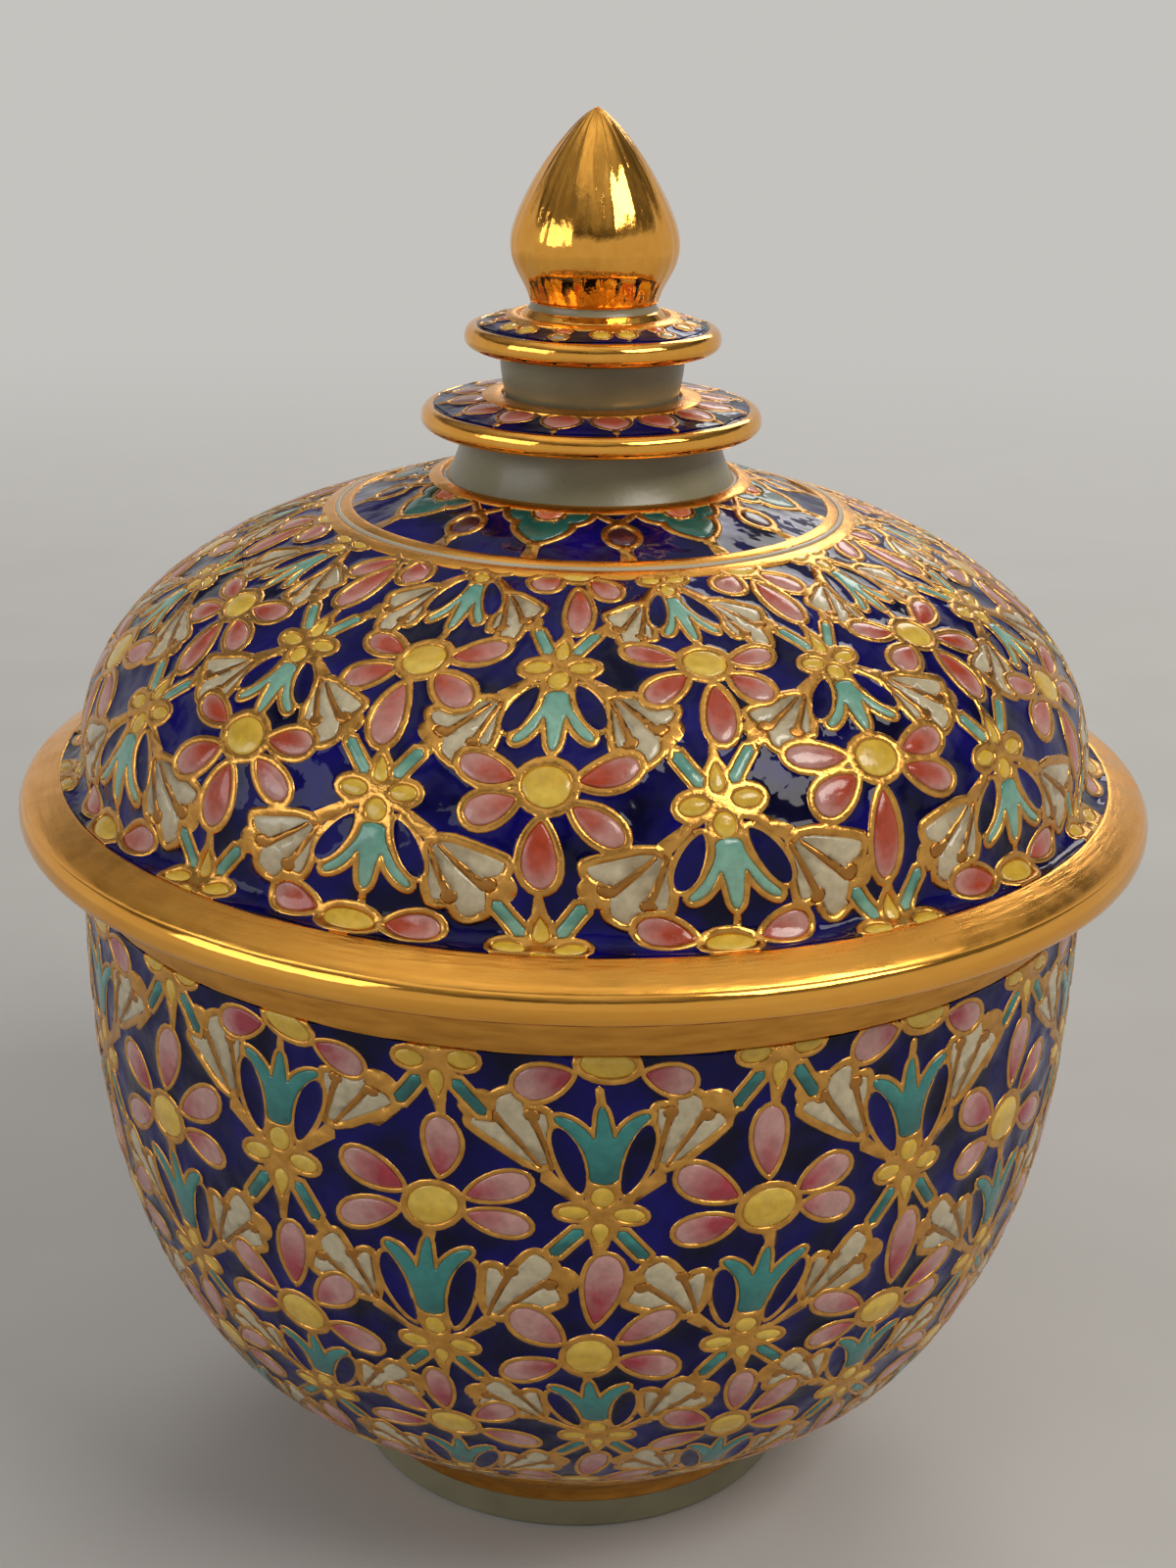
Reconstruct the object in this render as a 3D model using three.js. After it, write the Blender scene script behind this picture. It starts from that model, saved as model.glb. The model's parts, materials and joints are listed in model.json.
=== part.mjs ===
// Lidded porcelain sugar bowl. The bowl is a deep round belly that turns under to a low foot
// ring. The lid is a domed shell with a wide flange, a locating collar and a tiered finial
// that ends in a lotus bud. Every piece is turned round the Z axis.
// Millimetres, +Z up, origin at the centre of the face that the bowl stands on.

import * as THREE from "three";

// Bowl
const BOWL_RADIUS = 51.9; // outside, at the rim
const BOWL_WALL = 3; // at the rim
const RIM_HEIGHT = 75; // flat top of the rim, where the lid's flange rests
const RIM_ROUND = 0.9; // rounding of the rim's two edges
const RIM_BAND = 5.4; // upright band under the rim, before the belly curves in
const BELLY_FALL_POWER = 3.08; // how late the belly turns in
const BELLY_GIRTH_POWER = 1.38; // how full it stays after that
const BELLY_CLOSING_SHARE = 1.22; // depth where its curve would close, of the belly's depth
const BELLY_TURN_SHARE = 0.797; // depth where it turns under, of the belly's depth
const TURN_REACH = 3.6; // how far the turn carries on down the belly before it bends
const WELL_FALL_POWER = 3.1;
const WELL_GIRTH_POWER = 2.7;
const FLOOR_THICKNESS = 3.6; // at the centre, over the recess

// Foot
const FOOT_RADIUS = 24.4; // outside, where it stands
const FOOT_FLARE = 0.7; // how much wider it is where it meets the bowl
const FOOT_HEIGHT = 6;
const FOOT_WALL = 3.4;
const FOOT_ROUND = 0.6;
const BASE_MARGIN = 0.9; // flat underside of the bowl outside the foot
const BASE_EDGE = 1.2; // height of that flat's own rounded edge
const RECESS_RISE = 0.5; // how far the bowl's underside is hollowed inside the foot

// Lid
const DOME_STEP_IN = 0.5; // dome's side, inside the bowl's side
const DOME_RISE = 26.8; // from its widest ring to where its curve would close
const DOME_FALL_POWER = 2.11;
const DOME_GIRTH_POWER = 2;
const LID_WALL = 3;
const COVE_WIDTH = 2.5; // hollow between the dome and the gilded flange
const COVE_HEIGHT = 2.35;
const FLANGE_WIDTH = 4.1; // gilded top face
const FLANGE_EDGE = 2.9; // thickness of its rounded outer edge
const FLANGE_FALL = 1.8; // from its inner edge down to the outer edge
const CROWN_RADIUS = 25.3; // ring that parts the dome from the crown round the finial
const CROWN_RISE = 3.4;
const COLLAR_CLEARANCE = 0.8; // between the collar and the bowl, all round
const COLLAR_WALL = 2.7;
const COLLAR_DEPTH = 5;
const COLLAR_ROUND = 0.8;
const LEDGE_HEIGHT = 1.8; // upright face inside the lid, over the collar

// Finial
const LOWER_NECK_BASE_RADIUS = 14.5;
const LOWER_NECK_RADIUS = 13; // under its disc
const LOWER_NECK_HEIGHT = 4.7;
const LOWER_DISC_RADIUS = 16.9;
const UPPER_NECK_BASE_RADIUS = 8.6;
const UPPER_NECK_RADIUS = 9.2; // under its disc
const UPPER_NECK_HEIGHT = 4.6;
const UPPER_DISC_RADIUS = 12.6;
const DISC_EDGE = 2.35; // thickness of both discs at the edge
const DISC_GILT = 1.1; // width of the gilded edge, seen from above
const DISC_RISE = 0.95; // from that edge up to the neck above
const SEAT_LIP = 0.3; // flat seat beyond the piece that stands on it
const STEM_FOOT_RADIUS = 7.2;
const STEM_RADIUS = 6.15;
const STEM_HEIGHT = 1.6;
const BUD_RADIUS = 8.3;
const BUD_SWELL = 5.5; // height from the stem to the widest ring
const BUD_TAPER = 12.8; // height from the widest ring to the tip
const BUD_FALL_POWER = 1.3;
const BUD_GIRTH_POWER = 1.33;

const ROUND_SIDES = 60; // facets round the bowl and the lid
const FINIAL_SIDES = 40; // facets round the finial
const ARCH_STEPS = 9;
const BEND_STEPS = 3;

const COBALT = 0x0b0f55;
const GOLD = 0xb0752a;
const PORCELAIN = 0xd9d5c6;

// The lid's collar hangs in the bowl's mouth
const COLLAR_OUTER = BOWL_RADIUS - BOWL_WALL - COLLAR_CLEARANCE;
const COLLAR_INNER = COLLAR_OUTER - COLLAR_WALL;

// The bowl stands on the foot's top face
const FOOT_TOP_RADIUS = FOOT_RADIUS + FOOT_FLARE;
const FOOT_INNER = FOOT_TOP_RADIUS - FOOT_WALL;

// Heights of the lid's own edges, and of the seats that carry the finial
const FLANGE_TOP = RIM_HEIGHT + FLANGE_EDGE + FLANGE_FALL;
const DOME_BASE = FLANGE_TOP + COVE_HEIGHT;
const DOME_RADIUS = BOWL_RADIUS - DOME_STEP_IN;
const crownShare = (1 - (CROWN_RADIUS / DOME_RADIUS) ** DOME_GIRTH_POWER) ** (1 / DOME_FALL_POWER);
const LOWER_SEAT = DOME_BASE + DOME_RISE * crownShare + CROWN_RISE;
const UPPER_SEAT = LOWER_SEAT + LOWER_NECK_HEIGHT + DISC_EDGE + DISC_RISE;
const BUD_SEAT = UPPER_SEAT + UPPER_NECK_HEIGHT + DISC_EDGE + DISC_RISE;

// A point of an outline: distance from the axis, and height.
function point(radius, height) {
  return new THREE.Vector2(radius, height);
}

// Points of a smooth bend between two points, drawn towards a corner between them.
function bend(from, corner, to) {
  return new THREE.QuadraticBezierCurve(from, corner, to).getPoints(BEND_STEPS);
}

// Points of an arch that starts upright at a radius and would close on the axis after rise,
// which is negative where it falls. It stops at reachShare of that rise.
function arch(radius, base, rise, fallPower, girthPower, reachShare = 1) {
  const points = [];
  for (let i = 0; i <= ARCH_STEPS; i += 1) {
    const riseShare = Math.sin((Math.asin(reachShare) * i) / ARCH_STEPS);
    const girthShare = Math.max(0, 1 - riseShare ** fallPower) ** (1 / girthPower);
    points.push(point(radius * girthShare, base + rise * riseShare));
  }
  return points;
}

// Turns an outline round the Z axis.
function turned(name, outline, sides, colour, roughness, metalness = 0) {
  const geometry = new THREE.LatheGeometry(outline, sides);
  geometry.rotateX(Math.PI / 2);
  const material = new THREE.MeshStandardMaterial({ color: colour, roughness, metalness });
  const mesh = new THREE.Mesh(geometry, material);
  mesh.name = name;
  return mesh;
}

// The belly falls in a long curve, then turns under in a shallow cone to the foot. The well
// inside is rounder, so the floor and the turn are thicker than the rim.
function bowlWall() {
  const underside = FOOT_HEIGHT + RECESS_RISE;
  const baseRadius = FOOT_TOP_RADIUS + BASE_MARGIN;
  const baseHeight = FOOT_HEIGHT + BASE_EDGE;
  const bellyTop = RIM_HEIGHT - RIM_BAND;
  const closing = (bellyTop - baseHeight) * BELLY_CLOSING_SHARE;
  const turnShare = BELLY_TURN_SHARE / BELLY_CLOSING_SHARE;
  const belly = arch(BOWL_RADIUS, bellyTop, -closing, BELLY_FALL_POWER, BELLY_GIRTH_POWER, turnShare);
  const turn = belly[ARCH_STEPS];
  const heading = turn.clone().sub(belly[ARCH_STEPS - 1]).setLength(TURN_REACH);
  const cone = bend(turn, turn.clone().add(heading), point(baseRadius, baseHeight));
  const wellRadius = BOWL_RADIUS - BOWL_WALL;
  const wellDepth = bellyTop - underside - FLOOR_THICKNESS;
  const well = arch(wellRadius, bellyTop, -wellDepth, WELL_FALL_POWER, WELL_GIRTH_POWER);
  const outline = [
    point(0, underside),
    point(FOOT_INNER - RECESS_RISE, underside),
    point(FOOT_INNER, FOOT_HEIGHT),
    ...bend(point(FOOT_TOP_RADIUS, FOOT_HEIGHT), point(baseRadius, FOOT_HEIGHT), point(baseRadius, baseHeight)),
    ...cone.reverse().slice(1),
    ...belly.reverse().slice(1),
    ...bend(
      point(BOWL_RADIUS, RIM_HEIGHT - RIM_ROUND),
      point(BOWL_RADIUS, RIM_HEIGHT),
      point(BOWL_RADIUS - RIM_ROUND, RIM_HEIGHT),
    ),
    ...bend(
      point(wellRadius + RIM_ROUND, RIM_HEIGHT),
      point(wellRadius, RIM_HEIGHT),
      point(wellRadius, RIM_HEIGHT - RIM_ROUND),
    ),
    ...well,
  ];
  return turned("bowl_wall", outline, ROUND_SIDES, COBALT, 0.2);
}

// A low ring that stands on a flat, worn face with rounded edges.
function footRing() {
  const outline = [
    ...bend(point(FOOT_INNER, FOOT_ROUND), point(FOOT_INNER, 0), point(FOOT_INNER + FOOT_ROUND, 0)),
    ...bend(point(FOOT_RADIUS - FOOT_ROUND, 0), point(FOOT_RADIUS, 0), point(FOOT_RADIUS, FOOT_ROUND)),
    ...bend(
      point(FOOT_RADIUS, FOOT_HEIGHT - FOOT_FLARE - FOOT_ROUND),
      point(FOOT_RADIUS, FOOT_HEIGHT - FOOT_FLARE),
      point(FOOT_TOP_RADIUS, FOOT_HEIGHT),
    ),
    point(FOOT_INNER, FOOT_HEIGHT),
  ];
  outline.push(outline[0].clone());
  return turned("foot_ring", outline, ROUND_SIDES, PORCELAIN, 0.45);
}

// Flange, cove, dome and crown in one shell that is open below. A ledge inside its mouth
// carries the collar.
function lidDome() {
  const flangeInner = DOME_RADIUS + COVE_WIDTH;
  const flangeOuter = flangeInner + FLANGE_WIDTH;
  const edgeRound = FLANGE_EDGE / 2;
  const edgeMiddle = RIM_HEIGHT + edgeRound;
  const edgeTop = RIM_HEIGHT + FLANGE_EDGE;
  const dome = arch(DOME_RADIUS, DOME_BASE, DOME_RISE, DOME_FALL_POWER, DOME_GIRTH_POWER, crownShare);
  const hollowRadius = DOME_RADIUS - LID_WALL;
  const hollowRise = LOWER_SEAT - LID_WALL - DOME_BASE;
  const hollow = arch(hollowRadius, DOME_BASE, hollowRise, DOME_FALL_POWER, DOME_GIRTH_POWER);
  const outline = [
    ...hollow.reverse(),
    ...bend(
      point(hollowRadius, FLANGE_TOP),
      point(hollowRadius, RIM_HEIGHT + LEDGE_HEIGHT),
      point(COLLAR_INNER, RIM_HEIGHT + LEDGE_HEIGHT),
    ),
    point(COLLAR_INNER, RIM_HEIGHT),
    ...bend(
      point(flangeOuter - edgeRound, RIM_HEIGHT),
      point(flangeOuter, RIM_HEIGHT),
      point(flangeOuter, edgeMiddle),
    ),
    ...bend(
      point(flangeOuter, edgeMiddle),
      point(flangeOuter, edgeTop),
      point(flangeOuter - edgeRound, edgeTop + FLANGE_FALL * (edgeRound / FLANGE_WIDTH)),
    ).slice(1),
    ...bend(point(flangeInner, FLANGE_TOP), point(DOME_RADIUS, FLANGE_TOP), point(DOME_RADIUS, DOME_BASE)),
    ...dome.slice(1),
    point(LOWER_NECK_BASE_RADIUS + SEAT_LIP, LOWER_SEAT),
    point(0, LOWER_SEAT),
  ];
  return turned("lid_dome", outline, ROUND_SIDES, COBALT, 0.2);
}

// The ring under the lid that drops into the bowl's mouth and keeps the lid in place.
function locatingCollar() {
  const low = RIM_HEIGHT - COLLAR_DEPTH;
  const outline = [
    point(COLLAR_INNER, RIM_HEIGHT),
    ...bend(
      point(COLLAR_INNER, low + COLLAR_ROUND),
      point(COLLAR_INNER, low),
      point(COLLAR_INNER + COLLAR_ROUND, low),
    ),
    ...bend(
      point(COLLAR_OUTER - COLLAR_ROUND, low),
      point(COLLAR_OUTER, low),
      point(COLLAR_OUTER, low + COLLAR_ROUND),
    ),
    point(COLLAR_OUTER, RIM_HEIGHT),
  ];
  outline.push(outline[0].clone());
  return turned("locating_collar", outline, ROUND_SIDES, PORCELAIN, 0.25);
}

// A neck that carries a disc. The disc is rounded below, gilded round its edge and rises a
// little to the flat seat of the piece above.
function tier(name, seat, baseRadius, neckRadius, neckHeight, discRadius, nextRadius) {
  const low = seat + neckHeight;
  const middle = low + DISC_EDGE / 2;
  const high = low + DISC_EDGE;
  const top = high + DISC_RISE;
  const outline = [
    point(0, seat),
    ...bend(point(baseRadius, seat), point(neckRadius, seat + neckHeight / 2), point(neckRadius, low)),
    ...bend(point(neckRadius, low), point(discRadius, low), point(discRadius, middle)).slice(1),
    ...bend(point(discRadius, middle), point(discRadius, high), point(discRadius - DISC_GILT, high)).slice(1),
    point(nextRadius + SEAT_LIP, top),
    point(0, top),
  ];
  return turned(name, outline, FINIAL_SIDES, GOLD, 0.25, 0.8);
}

function lowerTier() {
  return tier(
    "finial_lower_tier",
    LOWER_SEAT,
    LOWER_NECK_BASE_RADIUS,
    LOWER_NECK_RADIUS,
    LOWER_NECK_HEIGHT,
    LOWER_DISC_RADIUS,
    UPPER_NECK_BASE_RADIUS,
  );
}

function upperTier() {
  return tier(
    "finial_upper_tier",
    UPPER_SEAT,
    UPPER_NECK_BASE_RADIUS,
    UPPER_NECK_RADIUS,
    UPPER_NECK_HEIGHT,
    UPPER_DISC_RADIUS,
    STEM_FOOT_RADIUS,
  );
}

// A short flared stem swells into a pointed lotus bud.
function bud() {
  const stemTop = BUD_SEAT + STEM_HEIGHT;
  const widest = stemTop + BUD_SWELL;
  const swell = new THREE.CubicBezierCurve(
    point(STEM_RADIUS, stemTop),
    point(STEM_RADIUS, stemTop + BUD_SWELL / 3),
    point(BUD_RADIUS, widest - BUD_SWELL / 2),
    point(BUD_RADIUS, widest),
  );
  const outline = [
    point(0, BUD_SEAT),
    ...bend(
      point(STEM_FOOT_RADIUS, BUD_SEAT),
      point(STEM_RADIUS, BUD_SEAT + STEM_HEIGHT / 2),
      point(STEM_RADIUS, stemTop),
    ),
    ...swell.getPoints(BEND_STEPS * 2).slice(1),
    ...arch(BUD_RADIUS, widest, BUD_TAPER, BUD_FALL_POWER, BUD_GIRTH_POWER).slice(1),
  ];
  return turned("finial_bud", outline, FINIAL_SIDES, GOLD, 0.18, 0.9);
}

const bowl = new THREE.Group();
bowl.add(bowlWall(), footRing());

const lid = new THREE.Group();
lid.add(lidDome(), locatingCollar(), lowerTier(), upperTier(), bud());

const sugarBowl = new THREE.Group();
sugarBowl.add(bowl, lid);

export default sugarBowl;
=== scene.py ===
# %% [markdown]
# # A covered sugar bowl in raised enamel and gold
# This lesson dresses a turned porcelain bowl and its lid. The engineering model already has the
# right sizes, so everything here is worked out in the same frame: millimetres in the sums, metres
# in Blender, Z up, and the side that faces the camera is -Y. The model is loaded first.

# %% Load the model
import bpy
import json
import math
import numpy as np
from mathutils import Matrix, Vector, kdtree
from mathutils.geometry import delaunay_2d_cdt

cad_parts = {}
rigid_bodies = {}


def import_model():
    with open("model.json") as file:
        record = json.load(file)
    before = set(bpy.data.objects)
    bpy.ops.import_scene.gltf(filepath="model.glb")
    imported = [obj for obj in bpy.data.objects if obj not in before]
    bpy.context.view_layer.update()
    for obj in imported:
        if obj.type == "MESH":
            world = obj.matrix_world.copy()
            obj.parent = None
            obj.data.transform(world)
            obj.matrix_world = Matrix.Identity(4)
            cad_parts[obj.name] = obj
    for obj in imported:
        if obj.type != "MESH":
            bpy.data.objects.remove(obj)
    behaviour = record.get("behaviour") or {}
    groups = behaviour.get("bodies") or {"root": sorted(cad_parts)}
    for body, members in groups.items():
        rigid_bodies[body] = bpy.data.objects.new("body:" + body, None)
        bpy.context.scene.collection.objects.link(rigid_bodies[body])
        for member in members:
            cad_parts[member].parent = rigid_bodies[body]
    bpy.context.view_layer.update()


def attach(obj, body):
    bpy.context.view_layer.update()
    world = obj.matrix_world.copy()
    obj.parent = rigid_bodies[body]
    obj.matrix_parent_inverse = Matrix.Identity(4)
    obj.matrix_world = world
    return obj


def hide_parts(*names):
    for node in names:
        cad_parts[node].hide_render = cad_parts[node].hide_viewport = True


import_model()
MM = 0.001

# %% [markdown]
# ## The camera
# A camera can be placed by eye, or worked out from the ellipses that a round object makes in a
# picture. The second way is used, because a turned object gives many ellipses: bud, discs, flange
# and foot together leave only one place where the camera can have stood.

# %% Camera
IMAGE_WIDTH, IMAGE_HEIGHT = 1200, 1600
CAMERA_BACK = 237.2
CAMERA_HEIGHT = 161.9
CAMERA_PITCH = 19.97
CAMERA_ROLL = 1.15
FOCAL_PIXELS = 2437.15
AXIS_PIXEL = 595.86
SENSOR = 36.0

camera_data = bpy.data.cameras.new("camera")
camera_data.sensor_width = SENSOR
camera_data.lens = FOCAL_PIXELS * SENSOR / IMAGE_HEIGHT
camera_data.shift_x = (IMAGE_WIDTH / 2 - AXIS_PIXEL) / IMAGE_HEIGHT
camera_data.clip_start = 0.01
camera = bpy.data.objects.new("camera", camera_data)
look = Matrix.Rotation(math.radians(90 - CAMERA_PITCH), 4, "X")
roll = Matrix.Rotation(math.radians(CAMERA_ROLL), 4, "Z")
camera.matrix_world = Matrix.Translation((0, -CAMERA_BACK * MM, CAMERA_HEIGHT * MM)) @ look @ roll
bpy.context.scene.collection.objects.link(camera)
bpy.context.scene.camera = camera
print("Lens:", round(camera_data.lens, 2), "mm")

# %% [markdown]
# ## Nodes in a few words
# Every finish below is a small net of shader nodes. They could be joined one link at a time, but
# that takes many lines and hides what the net does. A few helpers let a net read like a sum:
# a node is made with its inputs, and an input may be the output of another node.

# %% Helpers for nodes
def feed(tree, socket, value):
    """Joins an input to another node's output, or sets it to a plain value."""
    if isinstance(value, bpy.types.NodeSocket):
        tree.links.new(value, socket)
    else:
        socket.default_value = value


def node(tree, kind, *values, **named):
    """Adds a node. Values go to its inputs in order, named ones to the input or setting of that name."""
    made = tree.nodes.new(kind)
    for key, value in named.items():
        if key in made.inputs:
            feed(tree, made.inputs[key], value)
        else:
            setattr(made, key, value)
    for socket, value in zip(made.inputs, values):
        feed(tree, socket, value)
    return made


def calculated(tree, operation, *values):
    return node(tree, "ShaderNodeMath", *values, operation=operation).outputs[0]


def ramp(tree, value, *stops):
    """Colours, or greys given as one number, along a value from 0 to 1."""
    made = node(tree, "ShaderNodeValToRGB", value)
    while len(made.color_ramp.elements) < len(stops):
        made.color_ramp.elements.new(0.5)
    for element, (place, colour) in zip(made.color_ramp.elements, stops):
        element.position = place
        element.color = (*colour, 1) if isinstance(colour, tuple) else (colour, colour, colour, 1)
    return made.outputs["Color"]


def mixed(tree, share, first, second, way="MIX"):
    made = node(tree, "ShaderNodeMix", data_type="RGBA", blend_type=way)
    for number, value in ((0, share), (6, first), (7, second)):
        feed(tree, made.inputs[number], (*value, 1) if isinstance(value, tuple) else value)
    return made.outputs[2]


# %% Helpers for finishes
def new_finish(name):
    material = bpy.data.materials.new(name)
    material.use_nodes = True
    return material, material.node_tree, material.node_tree.nodes["Principled BSDF"]


def dress(tree, shader, looks):
    for key, value in looks.items():
        feed(tree, shader.inputs[key], value)


def grain(tree, size, detail=2.0):
    """Noise whose lumps are about size millimetres across."""
    place = node(tree, "ShaderNodeTexCoord").outputs["Object"]
    return node(tree, "ShaderNodeTexNoise", Vector=place, Scale=1 / (size * MM), Detail=detail).outputs["Fac"]


def bumped(tree, shader, height, depth):
    """A fine relief, depth millimetres from its lowest to its highest."""
    relief = node(tree, "ShaderNodeBump", Height=height, Distance=depth * MM)
    tree.links.new(relief.outputs["Normal"], shader.inputs["Normal"])


# %% [markdown]
# ## Floor, backdrop and light
# The bowl stands on a pale floor, which far from the bowl takes the backdrop's colour, so that no
# hard line crosses the picture. Gold and glaze show what is round them. They could be given a
# picture of a room, but a ramp from low to high does as well: the backdrop's colour at the foot,
# then a dark band, then a light ceiling with soft patches. What lights the bowl is another plain
# soft room and three lamps, set so that a colour renders about as bright as it is written.

# %% Rays that see the backdrop
def backdrop_rays(tree):
    """1 for rays that look at the room straight, or by way of metal, glaze or glass."""
    rays = node(tree, "ShaderNodeLightPath").outputs
    mirrored = calculated(tree, "MAXIMUM", rays["Is Glossy Ray"], rays["Is Transmission Ray"])
    return calculated(tree, "MAXIMUM", mirrored, rays["Is Camera Ray"])


# %% Floor
FLOOR_SIZE, FLOOR_LUMP, FLOOR_FADE = 6.0, 40, (0.12, 0.75)
FLOOR_TONES = (0.3, (0.50, 0.487, 0.465)), (0.7, (0.54, 0.527, 0.505))
BACKDROP = (0.56, 0.545, 0.52)

floor_finish, tree, shader = new_finish("pale_floor")
dress(tree, shader, {"Base Color": ramp(tree, grain(tree, FLOOR_LUMP), *FLOOR_TONES), "Roughness": 0.7})
place = node(tree, "ShaderNodeTexCoord").outputs["Object"]
reach = node(tree, "ShaderNodeVectorMath", place, operation="LENGTH").outputs["Value"]
far = node(tree, "ShaderNodeMapRange", reach, *FLOOR_FADE, interpolation_type="SMOOTHSTEP").outputs["Result"]
glow = node(tree, "ShaderNodeEmission", Color=(*BACKDROP, 1)).outputs[0]
share = calculated(tree, "MULTIPLY", far, backdrop_rays(tree))
blend = node(tree, "ShaderNodeMixShader", share, shader.outputs[0], glow)
tree.links.new(blend.outputs[0], tree.nodes["Material Output"].inputs["Surface"])

half = FLOOR_SIZE / 2
corners = [(-half, -half, 0), (half, -half, 0), (half, half, 0), (-half, half, 0)]
floor_mesh = bpy.data.meshes.new("floor")
floor_mesh.from_pydata(corners, [], [(0, 1, 2, 3)])
floor_mesh.materials.append(floor_finish)
floor = bpy.data.objects.new("floor", floor_mesh)
bpy.context.scene.collection.objects.link(floor)
print("The floor is", FLOOR_SIZE, "m wide and fades between", *FLOOR_FADE, "m")

# %% Room
ROOM_LIT = (0.0, (0.16, 0.15, 0.14)), (0.5, (0.34, 0.34, 0.34))
ROOM_FOOT, ROOM_DARK = 0.32, 0.46
ROOM_SEEN = (
    (ROOM_FOOT, BACKDROP), (ROOM_DARK, (0.13, 0.12, 0.11)),
    (0.72, (0.38, 0.37, 0.35)), (0.94, (0.95, 0.93, 0.88)),
)

world = bpy.data.worlds.new("room")
bpy.context.scene.world = world
world.use_nodes = True
tree = world.node_tree
direction = node(tree, "ShaderNodeTexCoord").outputs["Generated"]
up = node(tree, "ShaderNodeSeparateXYZ", direction).outputs["Z"]
patches = node(tree, "ShaderNodeTexNoise", Vector=direction, Scale=2.2, Detail=1.0).outputs["Fac"]
patches = ramp(tree, patches, (0.38, 0.45), (0.62, 1.0))
above_foot = ramp(tree, up, (ROOM_FOOT, 0.0), (ROOM_DARK, 1.0))
seen = mixed(tree, above_foot, ramp(tree, up, *ROOM_SEEN), patches, "MULTIPLY")
room = mixed(tree, backdrop_rays(tree), ramp(tree, up, *ROOM_LIT), seen)
tree.links.new(room, tree.nodes["Background"].inputs["Color"])
print("The room has", len(ROOM_SEEN), "tones from foot to ceiling")

# %% Lamps
AIM = Vector((0, 0, 0.07))
LAMP_SHAPE = 0.6
# Place and size in metres, power in watts, colour.
LAMPS = {
    "key": ((0.42, -0.30, 0.62), 0.42, 2.6, (1.0, 0.95, 0.88)),
    "fill": ((-0.60, -0.35, 0.38), 0.55, 1.3, (0.95, 0.97, 1.0)),
    "rim": ((0.15, 0.62, 0.50), 0.45, 1.5, (1.0, 0.97, 0.92)),
}
for name, (place, size, power, tint) in LAMPS.items():
    lamp_data = bpy.data.lights.new(name, "AREA")
    lamp_data.shape = "RECTANGLE"
    lamp_data.size = size
    lamp_data.size_y = size * LAMP_SHAPE
    lamp_data.energy = power
    lamp_data.color = tint
    lamp = bpy.data.objects.new(name, lamp_data)
    aim = (AIM - Vector(place)).to_track_quat("-Z", "Y")
    lamp.matrix_world = Matrix.Translation(place) @ aim.to_matrix().to_4x4()
    bpy.context.scene.collection.objects.link(lamp)
bpy.context.scene.view_settings.view_transform = "Standard"
print("Lamps:", ", ".join(LAMPS))

# %% [markdown]
# ## Finishes
# Cobalt is a deep blue glass that was brushed on thickly, so it pools in slight lumps and shines.
# Gold was brushed on too. It is bright and almost a mirror on edges and bud, and satin on the
# flange's slope and the lines round the crown. On rim and foot it is darker and mottled, and that
# darkness is painted shade, as under the flange's overhang and under the bowl. In the drawing it is
# a duller line, whose strokes vary at random and whose dark brown end is painted shade, and the
# veins of the leaves are darker still, painted shade on gold all over. The small enamels are softer.
# One colour for each would look printed, so their points carry three numbers: tint differs from
# cell to cell, along runs from 0 at a petal's root to 1 at its tip and shades red into pink, and
# middle runs from 0 at a cell's edge to 1 inside it, where the colour pools.

# %% Cobalt, porcelain and glaze
def cobalt():
    material, tree, shader = new_finish("cobalt_enamel")
    deep, light = (0.0010, 0.0006, 0.018), (0.0050, 0.0026, 0.122)
    tone = ramp(tree, grain(tree, 6.0, 3.0), (0.36, deep), (0.66, light))
    dress(tree, shader, {"Base Color": tone, "Roughness": 0.07, "IOR": 1.45, "Specular IOR Level": 0.24})
    bumped(tree, shader, grain(tree, 2.6, 1.5), 0.18)
    return material


def glazed(name, low, high, roughness, pits):
    material, tree, shader = new_finish(name)
    tone = ramp(tree, grain(tree, 9.0, 4.0), (0.3, low), (0.7, high))
    specks = ramp(tree, grain(tree, 0.5, 1.0), (0.22, 0.72), (0.30, 1.0))
    dress(tree, shader, {"Base Color": mixed(tree, 0.5, tone, specks, "MULTIPLY"), "Roughness": roughness})
    bumped(tree, shader, grain(tree, pits, 3.0), 0.03)
    return material


COBALT = cobalt()
GLAZE = glazed("white_glaze", (0.66, 0.65, 0.57), (0.72, 0.71, 0.63), 0.12, 2.5)
# Its dark olive-grey is painted shade, as under the discs and the bowl; the porcelain itself is a faintly
# green white.
PORCELAIN_IN_PAINTED_SHADE = glazed("bare_porcelain", (0.205, 0.188, 0.108), (0.29, 0.265, 0.165), 0.30, 0.9)
PALE_LINE = glazed("rubbed_line", (0.40, 0.34, 0.23), (0.52, 0.45, 0.32), 0.3, 0.9)
print("Glass and clay:", COBALT.name, GLAZE.name, PORCELAIN_IN_PAINTED_SHADE.name, PALE_LINE.name)

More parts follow.
